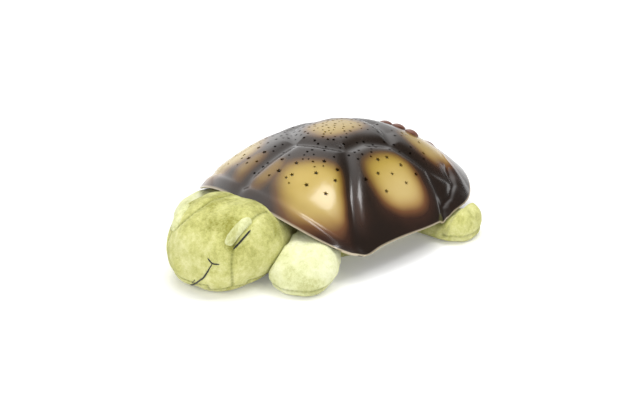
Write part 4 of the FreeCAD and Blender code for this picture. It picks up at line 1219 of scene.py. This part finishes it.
for name, root, toe, heights, others in LIMBS:
    limb = skin_of(name, voxel=3.5, smoothing=8)
    if "foot" in name:
        plump(limb, FOOT_RISE)
    limb_room = room_round(limb, ["star_shell", "base_plate", "belly_pad"] + others)
    swell(limb, limb_room, cap=3.0)
    refine(limb, levels=1)
    ruffle(limb, size=22.0, height=1.2, seed=11)
    limb_seams = [edge_seam(tree_of(limb), root, toe, heights)]
    write_value(limb, "seam", sew(limb, limb_seams, depth=1.1))
    keep_down(limb, 0.0)
    paint(PALE_PLUSH if "front" in name else LIME_PLUSH, limb.name)
    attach(limb, "root")
    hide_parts(name)
    print(name, "has", len(limb.data.polygons), "faces")

# %% [markdown]
# The cushion under the plate is a stuffed ring, open in the middle for the battery door.
# It carries the turtle, so it is flat below. It is made in the same way as the limbs.

# %% Belly cushion
belly = skin_of("belly_pad", voxel=3.5, smoothing=5)
belly_room = room_round(belly, [
    "base_plate", "belly_flap", "head", "left_front_flipper", "right_front_flipper",
    "left_rear_foot", "right_rear_foot", "tail", "flap_loop_strip", "body_loop_strips"])
swell(belly, belly_room, cap=2.0)
refine(belly, levels=1)
write_value(belly, "seam", [0.0] * len(belly.data.vertices))
keep_down(belly, 0.0)
paint(LIME_PLUSH, belly.name)
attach(belly, "root")
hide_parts("belly_pad")

# %% [markdown]
# The battery flap is a quilted panel with a turned edge, and it closes with two strips of
# hook and loop. A panel is a cube at the CAD size with its edges bevelled, divided, and
# pressed in round the border where the row of stitches runs.

# %% Flap and fastening strips
STITCH_ROW = 1.2
STITCH_PRESS = 0.18


def cloth_panel(name, low, high, corner, border):
    """A flat sewn piece between two corners, with rounded edges and a stitched border."""
    middle = (low + high) / 2
    size = high - low
    deselect()
    bpy.ops.mesh.primitive_cube_add(size=1, location=middle)
    panel = bpy.context.object
    panel.name = name
    panel.scale = size
    bpy.ops.object.transform_apply(location=True, rotation=True, scale=True)
    edit_all(bpy.ops.mesh.subdivide, number_cuts=9)
    apply_modifier(
        panel, "BEVEL", width=corner * MM, segments=2, limit_method="ANGLE")
    apply_modifier(panel, "SUBSURF", levels=1, render_levels=1, subdivision_type="SIMPLE")
    for vertex in panel.data.vertices:
        side = min(vertex.co.x - low.x, high.x - vertex.co.x,
                   vertex.co.y - low.y, high.y - vertex.co.y)
        press = bell(side / MM - border, STITCH_ROW) * size.z * STITCH_PRESS
        way = 1 if vertex.co.z < middle.z else -1
        vertex.co.z += way * press
    select_only(panel)
    bpy.ops.object.shade_smooth()
    return panel


flap_low, flap_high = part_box("belly_flap")
flap = cloth_panel("belly_flap_panel", flap_low, flap_high, corner=0.7, border=4.0)
write_value(flap, "seam", [0.0] * len(flap.data.vertices))
paint(LIME_PLUSH, flap.name)
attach(flap, "belly_flap")
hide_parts("belly_flap")


def tape(name, base, light, height):
    """Woven tape covered in hooks or loops."""
    made = Finish(name, Roughness=0.9, Sheen_Weight=0.25)
    cells = made.node(
        "ShaderNodeTexVoronoi", {"Vector": made.place(), "Scale": 1100.0})
    made.wire(made.ramp(cells.outputs["Distance"], [(0.1, light), (0.7, base)]), "Base Color")
    made.bump(cells.outputs["Distance"], height, 0.8)
    return made.material


HOOK_TAPE = tape("hook_tape", linear(196, 200, 158), linear(226, 228, 200), 0.0004)
LOOP_TAPE = tape("loop_tape", linear(186, 192, 140), linear(214, 220, 178), 0.0007)
STRIPS = [
    ("flap_hook_strip", "belly_flap", HOOK_TAPE, [0]),
    ("flap_loop_strip", "root", LOOP_TAPE, [0]),
    ("body_loop_strips", "root", LOOP_TAPE, [-1, 1]),
    ("plate_hook_strips", "root", HOOK_TAPE, [-1, 1]),
]
STRIP_HALF_GAP = 38.0
for node, body, finish, sides in STRIPS:
    low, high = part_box(node)
    for index, side in enumerate(sides):
        strip_low, strip_high = low.copy(), high.copy()
        if side > 0:
            strip_low.y = STRIP_HALF_GAP * MM
        if side < 0:
            strip_high.y = -STRIP_HALF_GAP * MM
        strip = cloth_panel(
            "%s_tape_%d" % (node, index), strip_low, strip_high, corner=0.15, border=1.5)
        paint(finish, strip.name)
        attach(strip, body)
        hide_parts(node)

# %% [markdown]
# The push buttons are moulded in a redder, plainer brown than the shell, with a soft
# sheen from fingers. Their CAD form is right, so only the finish is made here.

# %% Button finish
button_plastic = Finish("brown_button_plastic", Coat_Weight=0.25, Coat_Roughness=0.15)
cast = button_plastic.noise(0.004, 3.0)
button_plastic.wire(
    button_plastic.ramp(cast, [(0.3, linear(98, 60, 46)), (0.7, linear(120, 76, 58))]),
    "Base Color")
button_plastic.wire(button_plastic.spread(cast, 0.32, 0.48), "Roughness")
button_plastic.bump(button_plastic.noise(0.0006, 1.0), 0.00005, 0.3)
for colour, _, _, _ in BUTTONS:
    paint(button_plastic.material, colour + "_button")

# %% [markdown]
# Inside, the tray, the switch bracket and the lamp's post are moulded in matt brown and
# off-white plastic. A spark-eroded mould leaves a fine grain, which is a small noise in
# bump and roughness.

# %% Moulded plastic inside
def moulded(name, colour, rough, grain_size=0.0007):
    made = Finish(name)
    mottle = made.noise(0.02, 2.0)
    paler = tuple(min(1.0, c * 1.12) for c in colour[:3]) + (1.0,)
    made.wire(made.ramp(mottle, [(0.3, colour), (0.7, paler)]), "Base Color")
    made.wire(made.spread(made.noise(0.006), rough - 0.06, rough + 0.06), "Roughness")
    made.bump(made.noise(grain_size, 2.0), 0.00008, 0.5)
    return made.material


paint(moulded("brown_tray_plastic", linear(72, 54, 44), 0.5),
      "base_plate", "battery_door")
paint(moulded("pale_bracket_plastic", linear(214, 208, 190), 0.45),
      "switch_carrier", "lamp_post")
paint(moulded("black_switch_plastic", linear(34, 33, 32), 0.4), "switch_bodies")
paint(moulded("chip_resin", linear(28, 28, 30), 0.6, 0.0004), "timer_chip")
paint(moulded("white_plunger_plastic", linear(226, 224, 216), 0.35),
      "amber_plunger", "green_plunger", "blue_plunger", "power_plunger")

# %% [markdown]
# Circuit boards are green varnish over copper. The tracks show as slightly raised, paler
# lanes. A brick pattern gives lanes at right angles, and noise breaks them up.

# %% Circuit boards
varnish = Finish("green_board_varnish", Coat_Weight=0.4, Coat_Roughness=0.1, Roughness=0.4)
lanes = varnish.node("ShaderNodeTexBrick", {
    "Vector": varnish.place(), "Scale": 220.0, "Mortar Size": 0.05, "Mortar Smooth": 0.2,
    "Color1": (0, 0, 0, 1), "Color2": (0, 0, 0, 1), "Mortar": (1, 1, 1, 1)})
broken = varnish.calculated("MULTIPLY", lanes.outputs["Color"], varnish.noise(0.006, 1.0))
varnish.wire(
    varnish.ramp(broken, [(0.30, linear(18, 74, 44)), (0.45, linear(40, 110, 66))]),
    "Base Color")
varnish.bump(broken, 0.00006, 0.6)
paint(varnish.material, "main_board", "lamp_board", "switch_boards")

# %% [markdown]
# Screws and contacts are plated steel, which is a metal with a brushed roughness. The
# cells wear a plain sleeve with a metal rim, told apart by the way from their middle.

# %% Metal parts and cells
def plated(name, colour, rough):
    made = Finish(name, Metallic=1.0)
    brushed = made.noise(0.0008, 3.0)
    darker = tuple(c * 0.8 for c in colour[:3]) + (1.0,)
    made.wire(made.ramp(brushed, [(0.3, darker), (0.7, colour)]), "Base Color")
    made.wire(made.spread(brushed, rough - 0.08, rough + 0.1), "Roughness")
    made.bump(brushed, 0.00003, 0.4)
    return made.material


paint(plated("zinc_plating", linear(198, 200, 204), 0.32),
      "shell_screws", "lamp_screws", "board_screws", "carrier_screws", "door_screw")
paint(plated("nickel_plating", linear(206, 202, 190), 0.25), "battery_contacts")

CELL_MIDDLE = 0.046
CELL_HALF_LENGTH = 0.0225
sleeve = Finish("cell_sleeve", Coat_Weight=0.3, Coat_Roughness=0.1)
from_middle = sleeve.calculated("SUBTRACT", sleeve.split("X"), CELL_MIDDLE)
off_middle = sleeve.calculated("ABSOLUTE", from_middle)
zone = sleeve.spread(off_middle, 0.0, 1.0, 0.0, CELL_HALF_LENGTH)
sleeve.wire(sleeve.ramp(zone, [
    (0.0, linear(40, 58, 96)), (0.55, linear(44, 62, 100)), (0.60, linear(196, 198, 202)),
    (1.0, linear(206, 206, 208))]), "Base Color")
sleeve.wire(sleeve.spread(sleeve.noise(0.003), 0.25, 0.4), "Roughness")
sleeve.bump(sleeve.noise(0.002, 1.0), 0.00003, 0.3)
paint(sleeve.material, "battery_cells")

# %% [markdown]
# The three lamps are tinted resin that lets light through. Each is a glassy shader with
# its own colour, and a faint cloud where the chip sits in the resin. The capacitor and
# the resistors get a dark sleeve and coloured rings.

# %% Lamps and small electrical parts
def lamp_resin(name, colour, deep):
    made = Finish(name, Roughness=0.08, Transmission_Weight=0.5, IOR=1.5)
    cloud_in_resin = made.noise(0.003, 2.0)
    made.wire(made.ramp(cloud_in_resin, [(0.3, deep), (0.7, colour)]), "Base Color")
    made.bump(made.noise(0.002, 1.0), 0.00002, 0.3)
    return made.material


paint(lamp_resin("amber_resin", linear(244, 176, 60), linear(214, 130, 30)), "amber_lamp")
paint(lamp_resin("green_resin", linear(120, 210, 110), linear(60, 160, 70)), "green_lamp")
paint(lamp_resin("blue_resin", linear(110, 160, 236), linear(50, 96, 190)), "blue_lamp")
paint(moulded("capacitor_sleeve", linear(30, 34, 60), 0.35, 0.001), "capacitor")

bands = Finish("resistor_enamel", Roughness=0.4)
rings = bands.node(
    "ShaderNodeTexWave", {"Vector": bands.place(), "Scale": 190.0, "Distortion": 0.3},
    wave_type="BANDS", bands_direction="X")
bands.wire(bands.ramp(rings.outputs["Fac"], [
    (0.55, linear(206, 178, 134)), (0.70, linear(120, 52, 34))]), "Base Color")
bands.bump(bands.noise(0.001, 1.0), 0.00004, 0.4)
paint(bands.material, "resistors")
